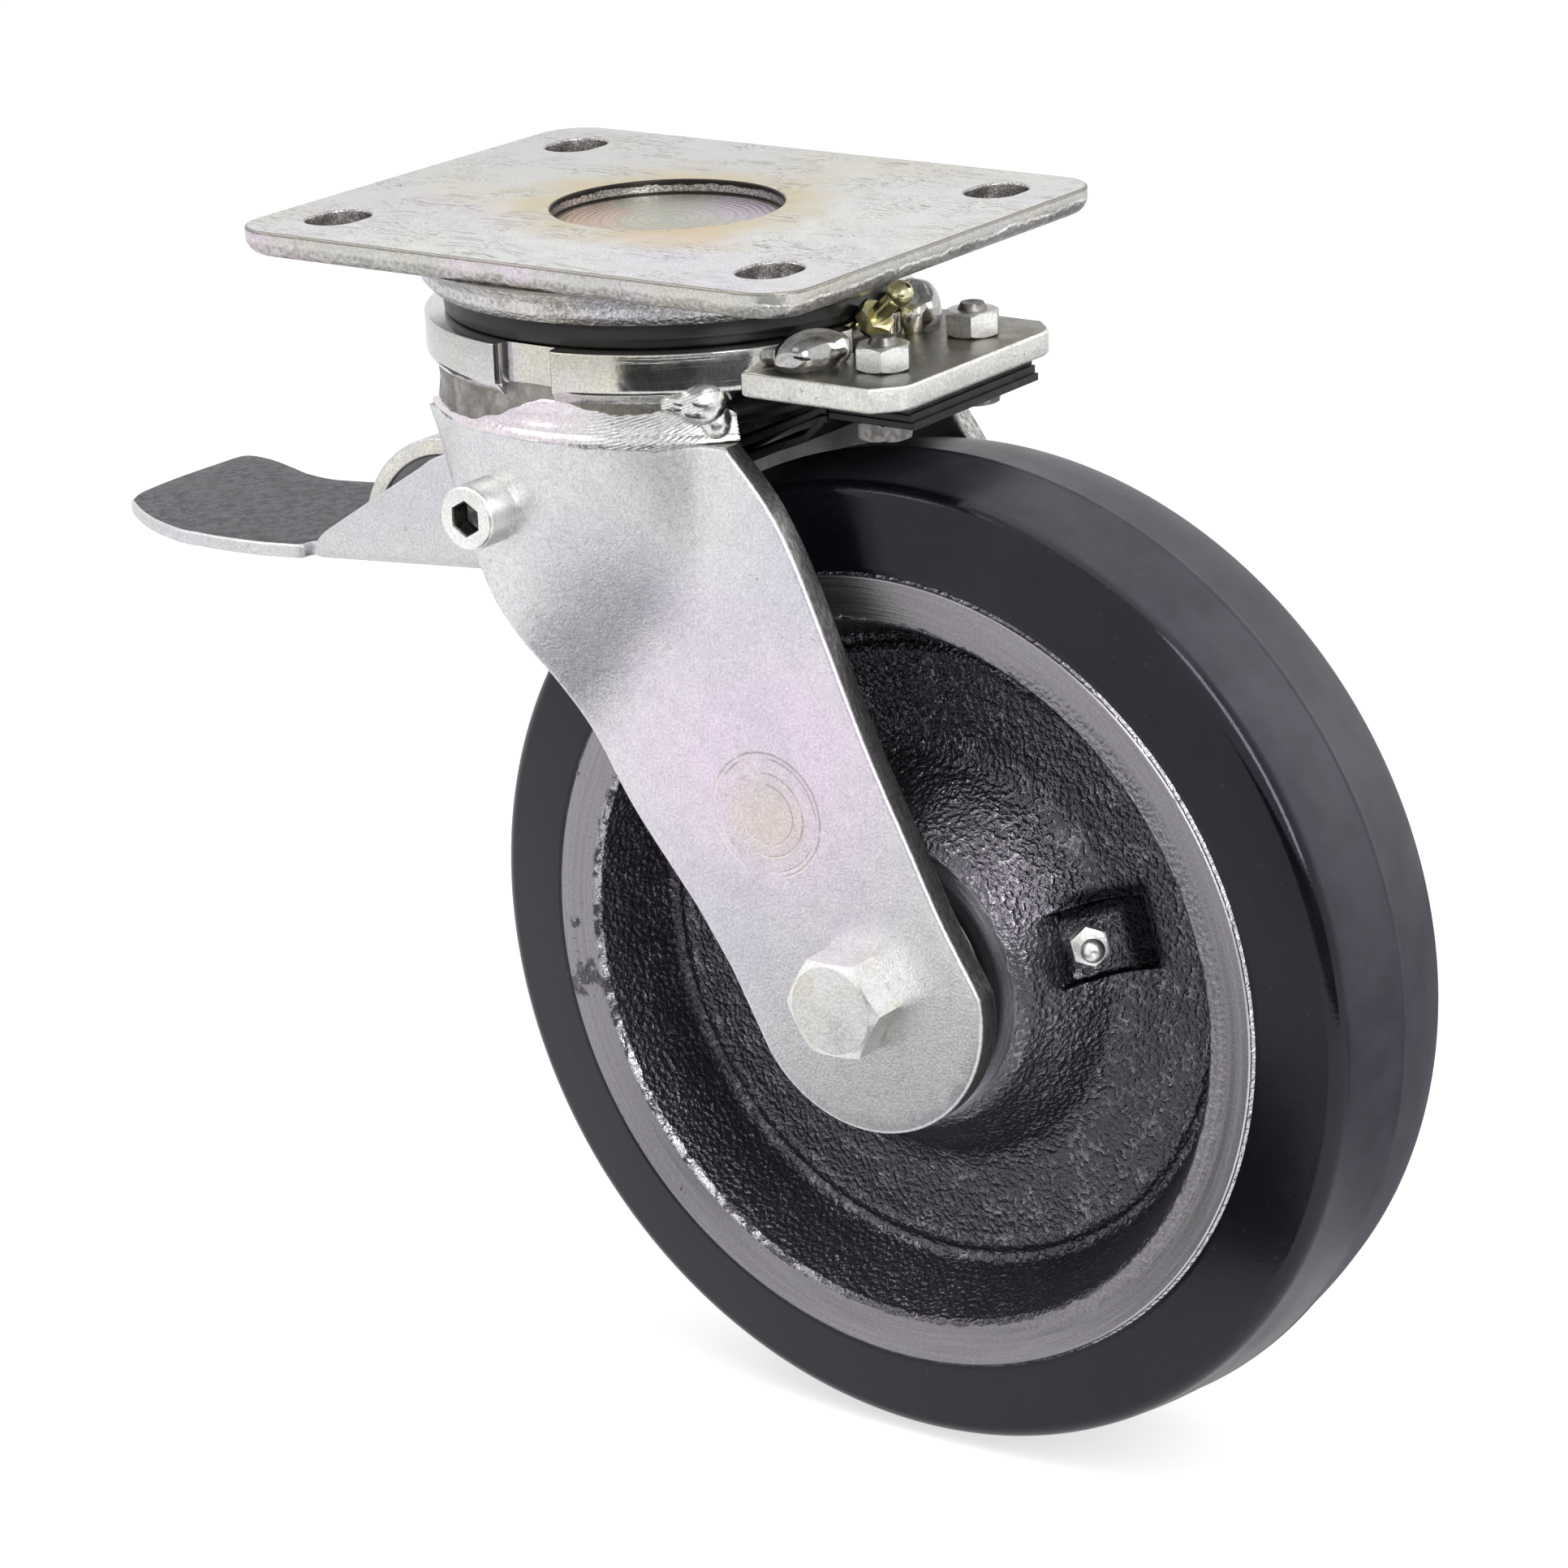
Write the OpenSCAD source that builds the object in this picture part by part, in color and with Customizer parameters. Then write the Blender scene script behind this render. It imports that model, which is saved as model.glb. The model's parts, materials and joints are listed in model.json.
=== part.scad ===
// Heavy-duty total-lock swivel castor with a rubber-tyred wheel.
// Origin on the swivel axis at the plate's top face, X along the axle, Y to the trailing wheel.

/* [Top plate] */
// Plate length across the axle, along X
plate_x = 112; // [100:1:130]
// Plate length in the rolling direction, along Y
plate_y = 135; // [125:1:150]
// Plate thickness at its edge
plate_t = 5.5; // [4:0.5:8]
// Corner radius of the plate
plate_corner_r = 10; // [5:1:16]
// Bolt spacing along X, between slot centres
bolt_x = 77.5; // [70:0.5:84]
// Bolt spacing along Y
bolt_y = 105; // [95:0.5:112]
// Slot width
slot_w = 11; // [9:0.5:13]
// Slot length from end to end, along X
slot_l = 14.5; // [12:0.5:17]
// Depth of the boss's underside below the top face
boss_drop = 13.2; // [12:0.2:14]
// Radius of the turned recess in the top face
recess_r = 23.3; // [15:0.1:28]
// Depth of the recess
recess_d = 3; // [1:0.5:5]
// Kingpin radius
king_r = 10; // [9:0.5:11]

/* [Swivel head] */
// Height of the flange's top
flange_top = -18.5; // [-19:0.1:-18]
// Height of the flange's underside
flange_low = -27.1; // [-27.6:0.1:-26]
// Height where the neck ends and the legs start
neck_low = -36; // [-37:0.5:-34]
// Width of the notches in the flange
notch_w = 12.8; // [8:0.2:15]
// Depth of the notches in the flange
notch_d = 3.6; // [2:0.2:4]
// Number of balls in the thrust race
thrust_balls_n = 24; // [16:1:26]
// Radius of the thrust balls
thrust_ball_r = 4; // [3.5:0.1:4.2]

/* [Fork] */
// Sheet thickness of the legs
leg_t = 6; // [5:0.5:7]
// Outer radius of the legs where they wrap the head
leg_wrap_r = 48.6; // [47.8:0.1:49.2]
// Radius of the leg's rounded lower end
leg_end_r = 27.6; // [24:0.2:30]
// Offset of the lower end's centre behind the axle
leg_end_off = 2.4; // [0:0.2:4]
// Slope of the facet between wrap and flat, in degrees
bulge_slope = 23; // [18:1:30]
// Direction of the facet's foot line, in degrees
bulge_dir = 50; // [40:1:60]
// Trail, from the swivel axis to the axle
trail = 64; // [62:0.5:68]
// Depth of the axle below the plate's top
axle_drop = 144; // [143:0.5:147]

/* [Wheel] */
// Wheel radius at the crown of the tread
wheel_r = 101.6; // [98:0.2:102]
// Tread radius at its shoulders
shoulder_r = 98.9; // [95:0.1:99.5]
// Width of the tread between its shoulders
tread_w = 39.3; // [34:0.1:42]
// Outer radius of the core's rim
rim_r = 82.2; // [78:0.2:86]
// Inner radius of the rim's machined band
band_r = 73; // [71:0.5:76]
// Width of the core at its rim
rim_w = 47.4; // [44:0.2:48]
// Width of the hub
hub_w = 51; // [49:0.5:53]
// Radius of the hub's end face
hub_r = 32; // [29:0.5:34]
// Bearing outside radius
bearing_ro = 23.5; // [23:0.5:25]
// Bearing bore radius
bearing_ri = 10; // [9:0.5:10.5]
// Bearing width
bearing_w = 14; // [12:0.5:15]
// Number of balls in one bearing
bearing_balls_n = 9; // [7:1:11]
// Length of the collars between the hub and the legs
collar_w = 5.5; // [4:0.5:8]
// Axle bolt radius
axle_r = 6; // [5:0.5:7]
// Width of the axle bolt's head across its flats
axle_af = 19; // [17:0.5:20]

/* [Brake] */
// Height of the brake bracket's top face
bracket_top = -23; // [-23.5:0.5:-22.5]
// Bracket thickness
bracket_t = 5; // [4:0.5:5.5]
// Bracket width
bracket_w = 61; // [54:1:66]
// Distance of the bracket's rear edge from the swivel axis
bracket_end = 73.5; // [71:0.5:78]
// Distance between the two clamp bolts
clamp_gap = 31; // [26:0.5:34]
// Distance of the clamp bolts from the swivel axis
clamp_y = 61.5; // [60:0.5:64]
// Thickness of one leaf of the spring
leaf_t = 1.5; // [1.2:0.1:1.6]
// Width of the leaves
leaf_w = 44; // [36:1:46]
// Distance of the pedal's pivot in front of the swivel axis
pivot_y = -10; // [-11:0.5:-9]
// Height of the pedal's pivot
pivot_z = -52; // [-52.4:0.2:-51.6]
// Distance of the cam's front lobe from the pivot
cam_front = 11; // [9:0.5:11]
// Distance of the cam's rear lobe from the pivot
cam_rear = 6; // [4:0.5:6.5]
// Radius of the cam's lobes
cam_r = 5; // [4.6:0.1:5.2]
// Width of the pedal over its wings
pedal_w = 56; // [53:0.5:58]
// Sheet thickness of the pedal
pedal_t = 3; // [2:0.5:3.5]
// Distance of the pedal's front edge from the swivel axis
pedal_tip = 144; // [132:1:150]
// Height of the pedal plate's top at its heel
pedal_top = -73.6; // [-75:0.2:-72]

/* [Hidden] */
eps = 0.01;
run_fit = 0.05;
touch = 0.02;

flange_r = leg_wrap_r + 1.1;
neck_r = leg_wrap_r - 1.3;
boss_r = flange_r - 0.1;
thrust_pitch = boss_r - 13.6;
seal_r = boss_r - 4.4;
thrust_z = (flange_top - boss_drop) / 2;
king_low = -30.5;
stud_r = king_r - 2;
stud_low = -36.5;
lower_ball_r = 3.2;
lower_pitch = king_r + 6;
lower_z = -26;
lower_w = 9;
lower_ro = king_r + 12;
head_hub_r = lower_ro + 2.5;
head_hub_low = -31;

axle_y = trail;
axle_z = -axle_drop;
leg_in_x = hub_w / 2 + collar_w;
leg_flat_x = leg_in_x + leg_t;
bulge_y = 33.9;
bulge_z = -63;
bulge_az = atan2(tan(bulge_slope) * sin(bulge_dir), 1);
bulge_el = atan2(tan(bulge_slope) * cos(bulge_dir) * cos(bulge_az), 1);
leg_top = neck_low;

bearing_pitch = (bearing_ri + bearing_ro) / 2;
bearing_ball_r = 3.5;
inner_ring_r = bearing_ri + 4;
outer_ring_r = bearing_ro - 3.5;
bearing_in = hub_w / 2 - bearing_w;
wall_foot_r = band_r - 7;
web_x = 6.5;
pocket_a = 15;
pocket_w = 15;
rim_bevel = 0.9;
nipple_seat = [web_x + 2.65, hub_r + 5.9];
nipple_tilt = 40;

leaf_low_z = bracket_top - bracket_t - 3 * leaf_t;
hinge_y = 51.5;
lock_hinge_z = bracket_top - bracket_t - 0.35 - leaf_t / 2;
brake_hinge_z = lock_hinge_z - leaf_t / 2 - 0.3 - leaf_t;
cam_top = pivot_z + cam_r;
cam_low = pivot_z - cam_r;
pad_fore = [0, cam_top + 4];
pad_aft = [12, cam_top + 6.8];
pad_y = 5;
pad_slope = atan2(pad_aft[1] - pad_fore[1], pad_aft[0] - pad_fore[0]);
clamp_r = 3;
clamp_af = 10;
pivot_shank_r = 4;
pivot_pin_r = 3;
pivot_seat_x = sqrt(pow(leg_wrap_r, 2) - pow(pivot_y, 2)) - 0.65;
wing_in = pedal_w / 2 - pedal_t;
heel_y = -77;
pedal_pitch = 2;
arch_r = 23.4;
arch_y = -43.7;
foot_w = pedal_w + 1.8;
nose_y = -99.6;
nose_r = pedal_tip + nose_y + 0.4;
nose_x = foot_w / 2 + 4.8 - nose_r;
toe_r = 5;
waist_r = 39;
waist_d = 9.5;
waist_y = -107;

// Flat helpers

// Rectangle with rounded corners, centred
module round_rect(a, b, r) {
    square([a, b - 2 * r], center = true);
    square([a - 2 * r, b], center = true);
    for (i = [-1, 1], j = [-1, 1])
        translate([i * (a / 2 - r), j * (b / 2 - r)])
            circle(r = r, $fn = 64);
}

// Outline of a strip of even thickness along a path, its top edge on the path
function unit(v) = v / norm(v);
function side(a, b) = let (u = unit(b - a)) [u[1], -u[0]];
function mitre(p, i) =
    i == 0 ? side(p[0], p[1]) :
    i == len(p) - 1 ? side(p[i - 1], p[i]) :
    let (m = side(p[i - 1], p[i]), n = side(p[i], p[i + 1]), s = unit(m + n)) s / (s * n);
function strip(p, t) = concat(p, [for (i = [len(p) - 1 : -1 : 0]) p[i] - t * mitre(p, i)]);

// Turns a drawing in the YZ plane into a slab between two X values
module along_x(x0, x1) {
    translate([x0, 0, 0])
        rotate([90, 0, 90])
            linear_extrude(x1 - x0)
                children();
}

// Cylinder along X
module rod(x0, x1, r, fn = 96) {
    translate([x0, 0, 0])
        rotate([0, 90, 0])
            cylinder(h = x1 - x0, r = r, $fn = fn);
}

// Solid of revolution about the X axis from a drawing of radius and X
module turned() {
    rotate([0, 90, 0])
        rotate_extrude($fn = 128)
            children();
}

// Hexagon with a given width across its flats
module hexagon(af) {
    circle(r = af / sqrt(3), $fn = 6);
}

module at_axle() {
    translate([0, axle_y, axle_z])
        children();
}

module at_pivot() {
    translate([0, pivot_y, pivot_z])
        children();
}

// Top plate and kingpin

module slots() {
    for (i = [-1, 1], j = [-1, 1])
        translate([i * bolt_x / 2, j * bolt_y / 2, -plate_t - 20])
            linear_extrude(plate_t + 30) {
                square([slot_l - slot_w, slot_w], center = true);
                for (k = [-1, 1])
                    translate([k * (slot_l - slot_w) / 2, 0])
                        circle(d = slot_w, $fn = 48);
            }
}

module top_plate() {
    color([0.80, 0.80, 0.76])
    difference() {
        union() {
            translate([0, 0, -plate_t])
                linear_extrude(plate_t)
                    round_rect(plate_x, plate_y, plate_corner_r);
            rotate_extrude($fn = 128)
                polygon([[0, -1], [boss_r + 4, -plate_t], [boss_r, -plate_t - 3],
                         [boss_r, 2 - boss_drop], [boss_r - 2, -boss_drop], [0, -boss_drop]]);
            translate([0, 0, king_low])
                cylinder(h = -king_low - 1, r = king_r, $fn = 96);
            translate([0, 0, stud_low])
                cylinder(h = 8, r = stud_r, $fn = 96);
        }
        translate([0, 0, -recess_d])
            cylinder(h = recess_d + 5, r = recess_r, $fn = 128);
        slots();
        rotate_extrude($fn = 128)
            translate([thrust_pitch, thrust_z])
                circle(r = thrust_ball_r + run_fit, $fn = 48);
    }
}

module kingpin_nut() {
    color([0.78, 0.78, 0.74])
    translate([0, 0, stud_low])
        difference() {
            linear_extrude(king_low - stud_low)
                hexagon(24);
            translate([0, 0, -1])
                cylinder(h = 20, r = stud_r, $fn = 96);
        }
}

module lower_race() {
    translate([lower_pitch, lower_z])
        circle(r = lower_ball_r + run_fit, $fn = 48);
}

module lower_cone() {
    color([0.72, 0.72, 0.70])
    rotate_extrude($fn = 128)
        difference() {
            translate([king_r, king_low])
                square([4.2, lower_w]);
            lower_race();
        }
}

// Swivel head and its bearings

module swivel_head() {
    color([0.76, 0.76, 0.74])
    difference() {
        rotate_extrude($fn = 128)
            polygon([[king_r + 1, flange_top], [flange_r - 0.8, flange_top], [flange_r, flange_top - 0.8],
                     [flange_r, flange_low], [neck_r, flange_low - 3], [neck_r, neck_low],
                     [leg_wrap_r - leg_t, neck_low], [leg_wrap_r - leg_t, flange_low],
                     [head_hub_r, flange_low], [head_hub_r, head_hub_low], [lower_ro, head_hub_low],
                     [lower_ro, king_low + lower_w], [king_r + 1, king_low + lower_w]]);
        rotate_extrude($fn = 128)
            translate([thrust_pitch, thrust_z])
                circle(r = thrust_ball_r + run_fit, $fn = 48);
        for (a = [0 : 90 : 270])
            rotate([0, 0, a])
                translate([flange_r - notch_d, -notch_w / 2, flange_low - eps])
                    cube([notch_d * 2, notch_w, 20]);
        translate([-29, 0, neck_low - 1])
            cube([58, 60, flange_low - neck_low + 1]);
        translate([-24, -60, neck_low - 1])
            cube([48, 60, flange_low - neck_low + 1]);
    }
}

module thrust_balls() {
    color([0.70, 0.71, 0.73])
    for (i = [0 : thrust_balls_n - 1])
        rotate([0, 0, i * 360 / thrust_balls_n])
            translate([thrust_pitch, 0, thrust_z])
                sphere(r = thrust_ball_r, $fn = 32);
}

module dust_seal() {
    color([0.06, 0.06, 0.06])
    translate([0, 0, flange_top])
        difference() {
            cylinder(h = -boss_drop - flange_top - 0.4, r = seal_r, $fn = 128);
            translate([0, 0, -1])
                cylinder(h = 20, r = seal_r - 3, $fn = 128);
        }
}

module lower_cup() {
    color([0.72, 0.72, 0.70])
    rotate_extrude($fn = 128)
        difference() {
            translate([lower_ro - 4.2, king_low])
                square([4.2, lower_w]);
            lower_race();
        }
}

module lower_balls() {
    color([0.70, 0.71, 0.73])
    for (i = [0 : 11])
        rotate([0, 0, i * 30])
            translate([lower_pitch, 0, lower_z])
                sphere(r = lower_ball_r, $fn = 32);
}

module swivel_nipple() {
    color([0.80, 0.72, 0.42])
    translate([0, flange_r - notch_d, flange_top - 2.4])
        difference() {
            rotate([-48, 0, 0]) {
                translate([0, 0, -4])
                    cylinder(h = 7, r = 2.6, $fn = 48);
                translate([0, 0, 2.9])
                    linear_extrude(3)
                        hexagon(7);
                translate([0, 0, 5.8])
                    cylinder(h = 6.5, r = 2, $fn = 48);
                translate([0, 0, 12.8])
                    sphere(r = 2.6, $fn = 48);
            }
            translate([-10, -20, -20])
                cube([20, 20 + touch, 22.4]);
        }
}

// Fork legs

module leg_outline() {
    polygon([[-34, leg_top], [-2.4, -86.2], [9.8, -110.5], [27.4, -132.1],
             [axle_y + leg_end_off + leg_end_r * cos(215), axle_z + leg_end_r * sin(215)],
             [axle_y + leg_end_off + leg_end_r * cos(8), axle_z + leg_end_r * sin(8)],
             [84.5, -126.5], [69, -93], [59.6, -69.8], [50, -51], [35, leg_top]]);
    translate([axle_y + leg_end_off, axle_z])
        circle(r = leg_end_r, $fn = 96);
}

// Everything inboard of the leg's surface, d being the depth below it
module leg_inside(d) {
    translate([0, -100, -200])
        cube([leg_flat_x - d, 250, 190]);
    intersection() {
        translate([0, 0, -200])
            cylinder(h = 190, r = leg_wrap_r - d, $fn = 128);
        translate([leg_flat_x, bulge_y, bulge_z])
            rotate([0, bulge_el, bulge_az])
                translate([-200 - d, -200, -200])
                    cube([200, 400, 400]);
    }
}

module leg() {
    difference() {
        intersection() {
            along_x(2, 60)
                leg_outline();
            leg_inside(0);
        }
        leg_inside(leg_t);
        at_axle()
            rod(0, 60, axle_r, 64);
        at_pivot() {
            rod(0, 60, pivot_shank_r, 64);
            rod(pivot_seat_x, 60, 7.2, 64);
        }
    }
}

module near_leg() {
    color([0.78, 0.77, 0.76])
    leg();
}

module far_leg() {
    color([0.78, 0.77, 0.76])
    mirror([1, 0, 0])
        leg();
}

module leg_welds() {
    color([0.82, 0.81, 0.78])
    for (a = [0, 180])
        rotate([0, 0, a - 40])
            rotate_extrude(angle = 80, $fn = 128)
                polygon([[neck_r, neck_low], [leg_wrap_r, neck_low], [leg_wrap_r, neck_low + 1],
                         [neck_r + 0.8, neck_low + 2.4], [neck_r, neck_low + 3]]);
}

// Brake bracket with its spring pack

module clamp_holes() {
    for (i = [-1, 1])
        translate([i * clamp_gap / 2, clamp_y, -60])
            cylinder(h = 60, r = clamp_r + 0.3, $fn = 48);
}

module spring_bracket() {
    color([0.74, 0.74, 0.70])
    difference() {
        translate([0, 0, bracket_top - bracket_t])
            linear_extrude(bracket_t)
                polygon([[-bracket_w / 2, 46], [bracket_w / 2, 46], [bracket_w / 2, bracket_end - 5],
                         [bracket_w / 2 - 5, bracket_end], [5 - bracket_w / 2, bracket_end],
                         [-bracket_w / 2, bracket_end - 5]]);
        translate([0, 0, -60])
            cylinder(h = 60, r = flange_r + touch, $fn = 128);
        clamp_holes();
    }
}

module bracket_welds() {
    color([0.45, 0.45, 0.43])
    difference() {
        for (i = [-1, 1])
            translate([i * 19, flange_r - 2.7, bracket_top])
                sphere(r = 8, $fn = 64);
        translate([0, 0, -60])
            cylinder(h = 60, r = flange_r + touch, $fn = 128);
        translate([-60, 0, bracket_top - 60])
            cube([120, 120, 60 + touch]);
    }
}

module clamp_bolts() {
    color([0.80, 0.79, 0.74])
    for (i = [-1, 1])
        translate([i * clamp_gap / 2, clamp_y, 0]) {
            translate([0, 0, leaf_low_z - 4])
                linear_extrude(4)
                    hexagon(clamp_af);
            translate([0, 0, leaf_low_z - 1])
                cylinder(h = bracket_top + 6.4 - leaf_low_z + 1, r = clamp_r, $fn = 48);
        }
}

module clamp_nuts() {
    color([0.80, 0.79, 0.74])
    for (i = [-1, 1])
        translate([i * clamp_gap / 2, clamp_y, bracket_top])
            difference() {
                linear_extrude(5)
                    hexagon(clamp_af);
                translate([0, 0, -1])
                    cylinder(h = 10, r = clamp_r, $fn = 48);
            }
}

module spring_pack() {
    color([0.10, 0.10, 0.11])
    difference() {
        for (k = [0 : 2])
            translate([-leaf_w / 2, hinge_y + leaf_t / 2 + 0.4, leaf_low_z + k * leaf_t])
                cube([leaf_w, bracket_end - 1 - hinge_y - leaf_t / 2 - 0.4, leaf_t]);
        clamp_holes();
    }
}

module leaf_arm(p, z) {
    along_x(-leaf_w / 2, leaf_w / 2) {
        polygon(strip(p, leaf_t));
        translate([hinge_y, z])
            circle(r = leaf_t / 2, $fn = 48);
    }
}

module upper_leaf() {
    color([0.10, 0.10, 0.11])
    leaf_arm([[hinge_y, lock_hinge_z + leaf_t / 2], [49, lock_hinge_z + leaf_t / 2 - 0.4],
              [44, lock_hinge_z - 1.5], [31.7, lock_hinge_z - 5.3], pad_aft, pad_fore,
              [-7, cam_top + 3]], lock_hinge_z);
}

module lock_pad() {
    color([0.20, 0.20, 0.21])
    translate([0, pad_y, pad_fore[1] + (pad_y - pad_fore[0]) * tan(pad_slope)])
        rotate([pad_slope, 0, 0])
            translate([-8, -4, touch])
                cube([16, 8, 2.4]);
}

module middle_leaf() {
    color([0.10, 0.10, 0.11])
    leaf_arm([[hinge_y, brake_hinge_z + leaf_t], [50.6, brake_hinge_z + leaf_t - 0.05],
              [49, brake_hinge_z + leaf_t - 1.15], [33.7, brake_hinge_z + leaf_t - 8.15],
              [20, brake_hinge_z + leaf_t - 13.45], [4, cam_low + 4.1], [-2, cam_low - 0.5],
              [-20, cam_low - 0.9], [-28, cam_low - 2]], brake_hinge_z + leaf_t / 2);
}

module lower_leaf() {
    color([0.10, 0.10, 0.11])
    leaf_arm([[hinge_y, brake_hinge_z - 0.1], [50.9, brake_hinge_z - 0.45], [49.6, brake_hinge_z - 2.6],
              [46.6, brake_hinge_z - 4.75], [36.4, brake_hinge_z - 8.85], [26, brake_hinge_z - 13.75],
              [15, brake_hinge_z - 17.95], [4, cam_low + 2], [-3, cam_low - 3],
              [-28, cam_low - 4.5]], brake_hinge_z - 0.1 - leaf_t / 2);
}

// Pedal with its cam

module pivot_screws() {
    color([0.80, 0.80, 0.78])
    for (m = [0, 1])
        mirror([m, 0, 0])
            at_pivot()
                difference() {
                    union() {
                        rod(pivot_seat_x, pivot_seat_x + 9.5, 6.5, 64);
                        rod(wing_in + pedal_t + 0.3, pivot_seat_x + 1, pivot_shank_r, 64);
                        rod(10, wing_in + pedal_t + 1, pivot_pin_r, 64);
                    }
                    translate([pivot_seat_x + 5, 0, 0])
                        rotate([0, 90, 0])
                            linear_extrude(6)
                                hexagon(6);
                }
}

module pivot_bushes() {
    color([0.74, 0.74, 0.72])
    for (m = [0, 1])
        mirror([m, 0, 0])
            intersection() {
                at_pivot()
                    difference() {
                        rod(wing_in + pedal_t + 0.3, pivot_seat_x, 7, 64);
                        rod(0, 60, pivot_shank_r, 64);
                    }
                leg_inside(leg_t + touch);
            }
}

// Foot plate, swept round at its near front corner and waisted on the far side
module pedal_outline() {
    difference() {
        union() {
            translate([-foot_w / 2, nose_y])
                square([foot_w, heel_y + 2 - nose_y]);
            intersection() {
                translate([nose_x, nose_y])
                    circle(r = nose_r, $fn = 128);
                translate([-foot_w / 2, -pedal_tip])
                    square([foot_w, pedal_tip + nose_y + 1]);
            }
            translate([-foot_w / 2, toe_r - pedal_tip])
                square([nose_x + foot_w / 2, pedal_tip + nose_y - toe_r + 1]);
            translate([toe_r - foot_w / 2, -pedal_tip])
                square([nose_x + foot_w / 2 - toe_r, pedal_tip + nose_y + 1]);
            translate([toe_r - foot_w / 2, toe_r - pedal_tip])
                circle(r = toe_r, $fn = 48);
        }
        translate([waist_d - waist_r - foot_w / 2, waist_y])
            circle(r = waist_r, $fn = 128);
    }
}

module pedal_plate() {
    translate([0, heel_y, pedal_top])
        rotate([pedal_pitch, 0, 0])
            translate([0, -heel_y, -pedal_t])
                linear_extrude(pedal_t)
                    pedal_outline();
}

module pedal_arch() {
    along_x(-20, 20)
        difference() {
            translate([arch_y, pedal_top + 1.5])
                circle(r = arch_r, $fn = 128);
            translate([arch_y, pedal_top + 1.5])
                circle(r = arch_r - pedal_t, $fn = 128);
            translate([arch_y - 40, pedal_top - 60])
                square([80, 60 - pedal_t / 2]);
            translate([arch_y + 4, pedal_top - 40])
                square([60, 80]);
        }
}

module pedal_wing() {
    along_x(wing_in, wing_in + pedal_t)
        difference() {
            union() {
                polygon([[heel_y, pedal_top - pedal_t + 0.2], [-30, -73.8], [-4, pivot_z - 6], [-4, pivot_z + 5],
                         [-20, pivot_z + 9], [-42, -50.4], [-60.7, -62.3], [-72.3, pedal_top + 3.4],
                         [heel_y, pedal_top - 1]]);
                translate([pivot_y, pivot_z])
                    circle(r = 9, $fn = 64);
            }
            translate([pivot_y, pivot_z])
                circle(r = pivot_pin_r + run_fit, $fn = 64);
        }
}

module pedal() {
    color([0.62, 0.62, 0.62])
    union() {
        pedal_plate();
        translate([-wing_in - 1, heel_y - 1, pedal_top - pedal_t + 0.2])
            cube([2 * wing_in + 2, 12, pedal_t - 0.4]);
        pedal_arch();
        pedal_wing();
        mirror([1, 0, 0])
            pedal_wing();
    }
}

module cam_bar() {
    color([0.50, 0.50, 0.50])
    at_pivot()
        along_x(touch - wing_in, wing_in - touch)
            difference() {
                union() {
                    translate([-cam_front, -cam_r])
                        square([cam_front + cam_rear, 2 * cam_r]);
                    for (c = [-cam_front, cam_rear])
                        translate([c, 0])
                            circle(r = cam_r, $fn = 64);
                }
                circle(r = pivot_pin_r + run_fit, $fn = 64);
            }
}

// Wheel with its bearings and axle

module axle_bolt() {
    color([0.82, 0.81, 0.77])
    at_axle() {
        translate([leg_flat_x, 0, 0])
            rotate([0, 90, 0])
                linear_extrude(7.5)
                    hexagon(axle_af);
        rod(-leg_flat_x - 13, leg_flat_x + 1, axle_r, 64);
    }
}

module axle_nut() {
    color([0.82, 0.81, 0.77])
    at_axle()
        translate([-leg_flat_x - 10, 0, 0])
            rotate([0, 90, 0])
                difference() {
                    linear_extrude(10)
                        hexagon(axle_af);
                    translate([0, 0, -1])
                        cylinder(h = 20, r = axle_r, $fn = 64);
                }
}

module axle_sleeve() {
    color([0.66, 0.66, 0.66])
    at_axle()
        difference() {
            rod(-leg_in_x, leg_in_x, bearing_ri);
            rod(-60, 60, axle_r, 64);
        }
}

module axle_collars() {
    color([0.66, 0.66, 0.66])
    at_axle()
        for (m = [0, 1])
            mirror([m, 0, 0])
                difference() {
                    rod(hub_w / 2, leg_in_x, bearing_ri + 3);
                    rod(0, 60, bearing_ri);
                }
}

module wheel_race() {
    translate([bearing_pitch, bearing_in + bearing_w / 2])
        circle(r = bearing_ball_r + run_fit, $fn = 48);
}

module bearing_inner_rings() {
    color([0.72, 0.72, 0.70])
    at_axle()
        for (m = [0, 1])
            mirror([m, 0, 0])
                turned()
                    difference() {
                        translate([bearing_ri, bearing_in])
                            square([inner_ring_r - bearing_ri, bearing_w]);
                        wheel_race();
                    }
}

module bearing_outer_rings() {
    color([0.72, 0.72, 0.70])
    at_axle()
        for (m = [0, 1])
            mirror([m, 0, 0])
                turned()
                    difference() {
                        translate([outer_ring_r, bearing_in])
                            square([bearing_ro - outer_ring_r, bearing_w]);
                        wheel_race();
                    }
}

module bearing_balls() {
    color([0.70, 0.71, 0.73])
    at_axle()
        for (m = [-1, 1], i = [0 : bearing_balls_n - 1])
            rotate([i * 360 / bearing_balls_n, 0, 0])
                translate([m * (bearing_in + bearing_w / 2), 0, bearing_pitch])
                    sphere(r = bearing_ball_r, $fn = 32);
}

module bearing_seals() {
    color([0.05, 0.05, 0.05])
    at_axle()
        for (m = [0, 1])
            mirror([m, 0, 0])
                difference() {
                    rod(hub_w / 2 - 1.2, hub_w / 2 - 0.4, outer_ring_r);
                    rod(0, 60, inner_ring_r + 0.3);
                }
}

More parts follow.
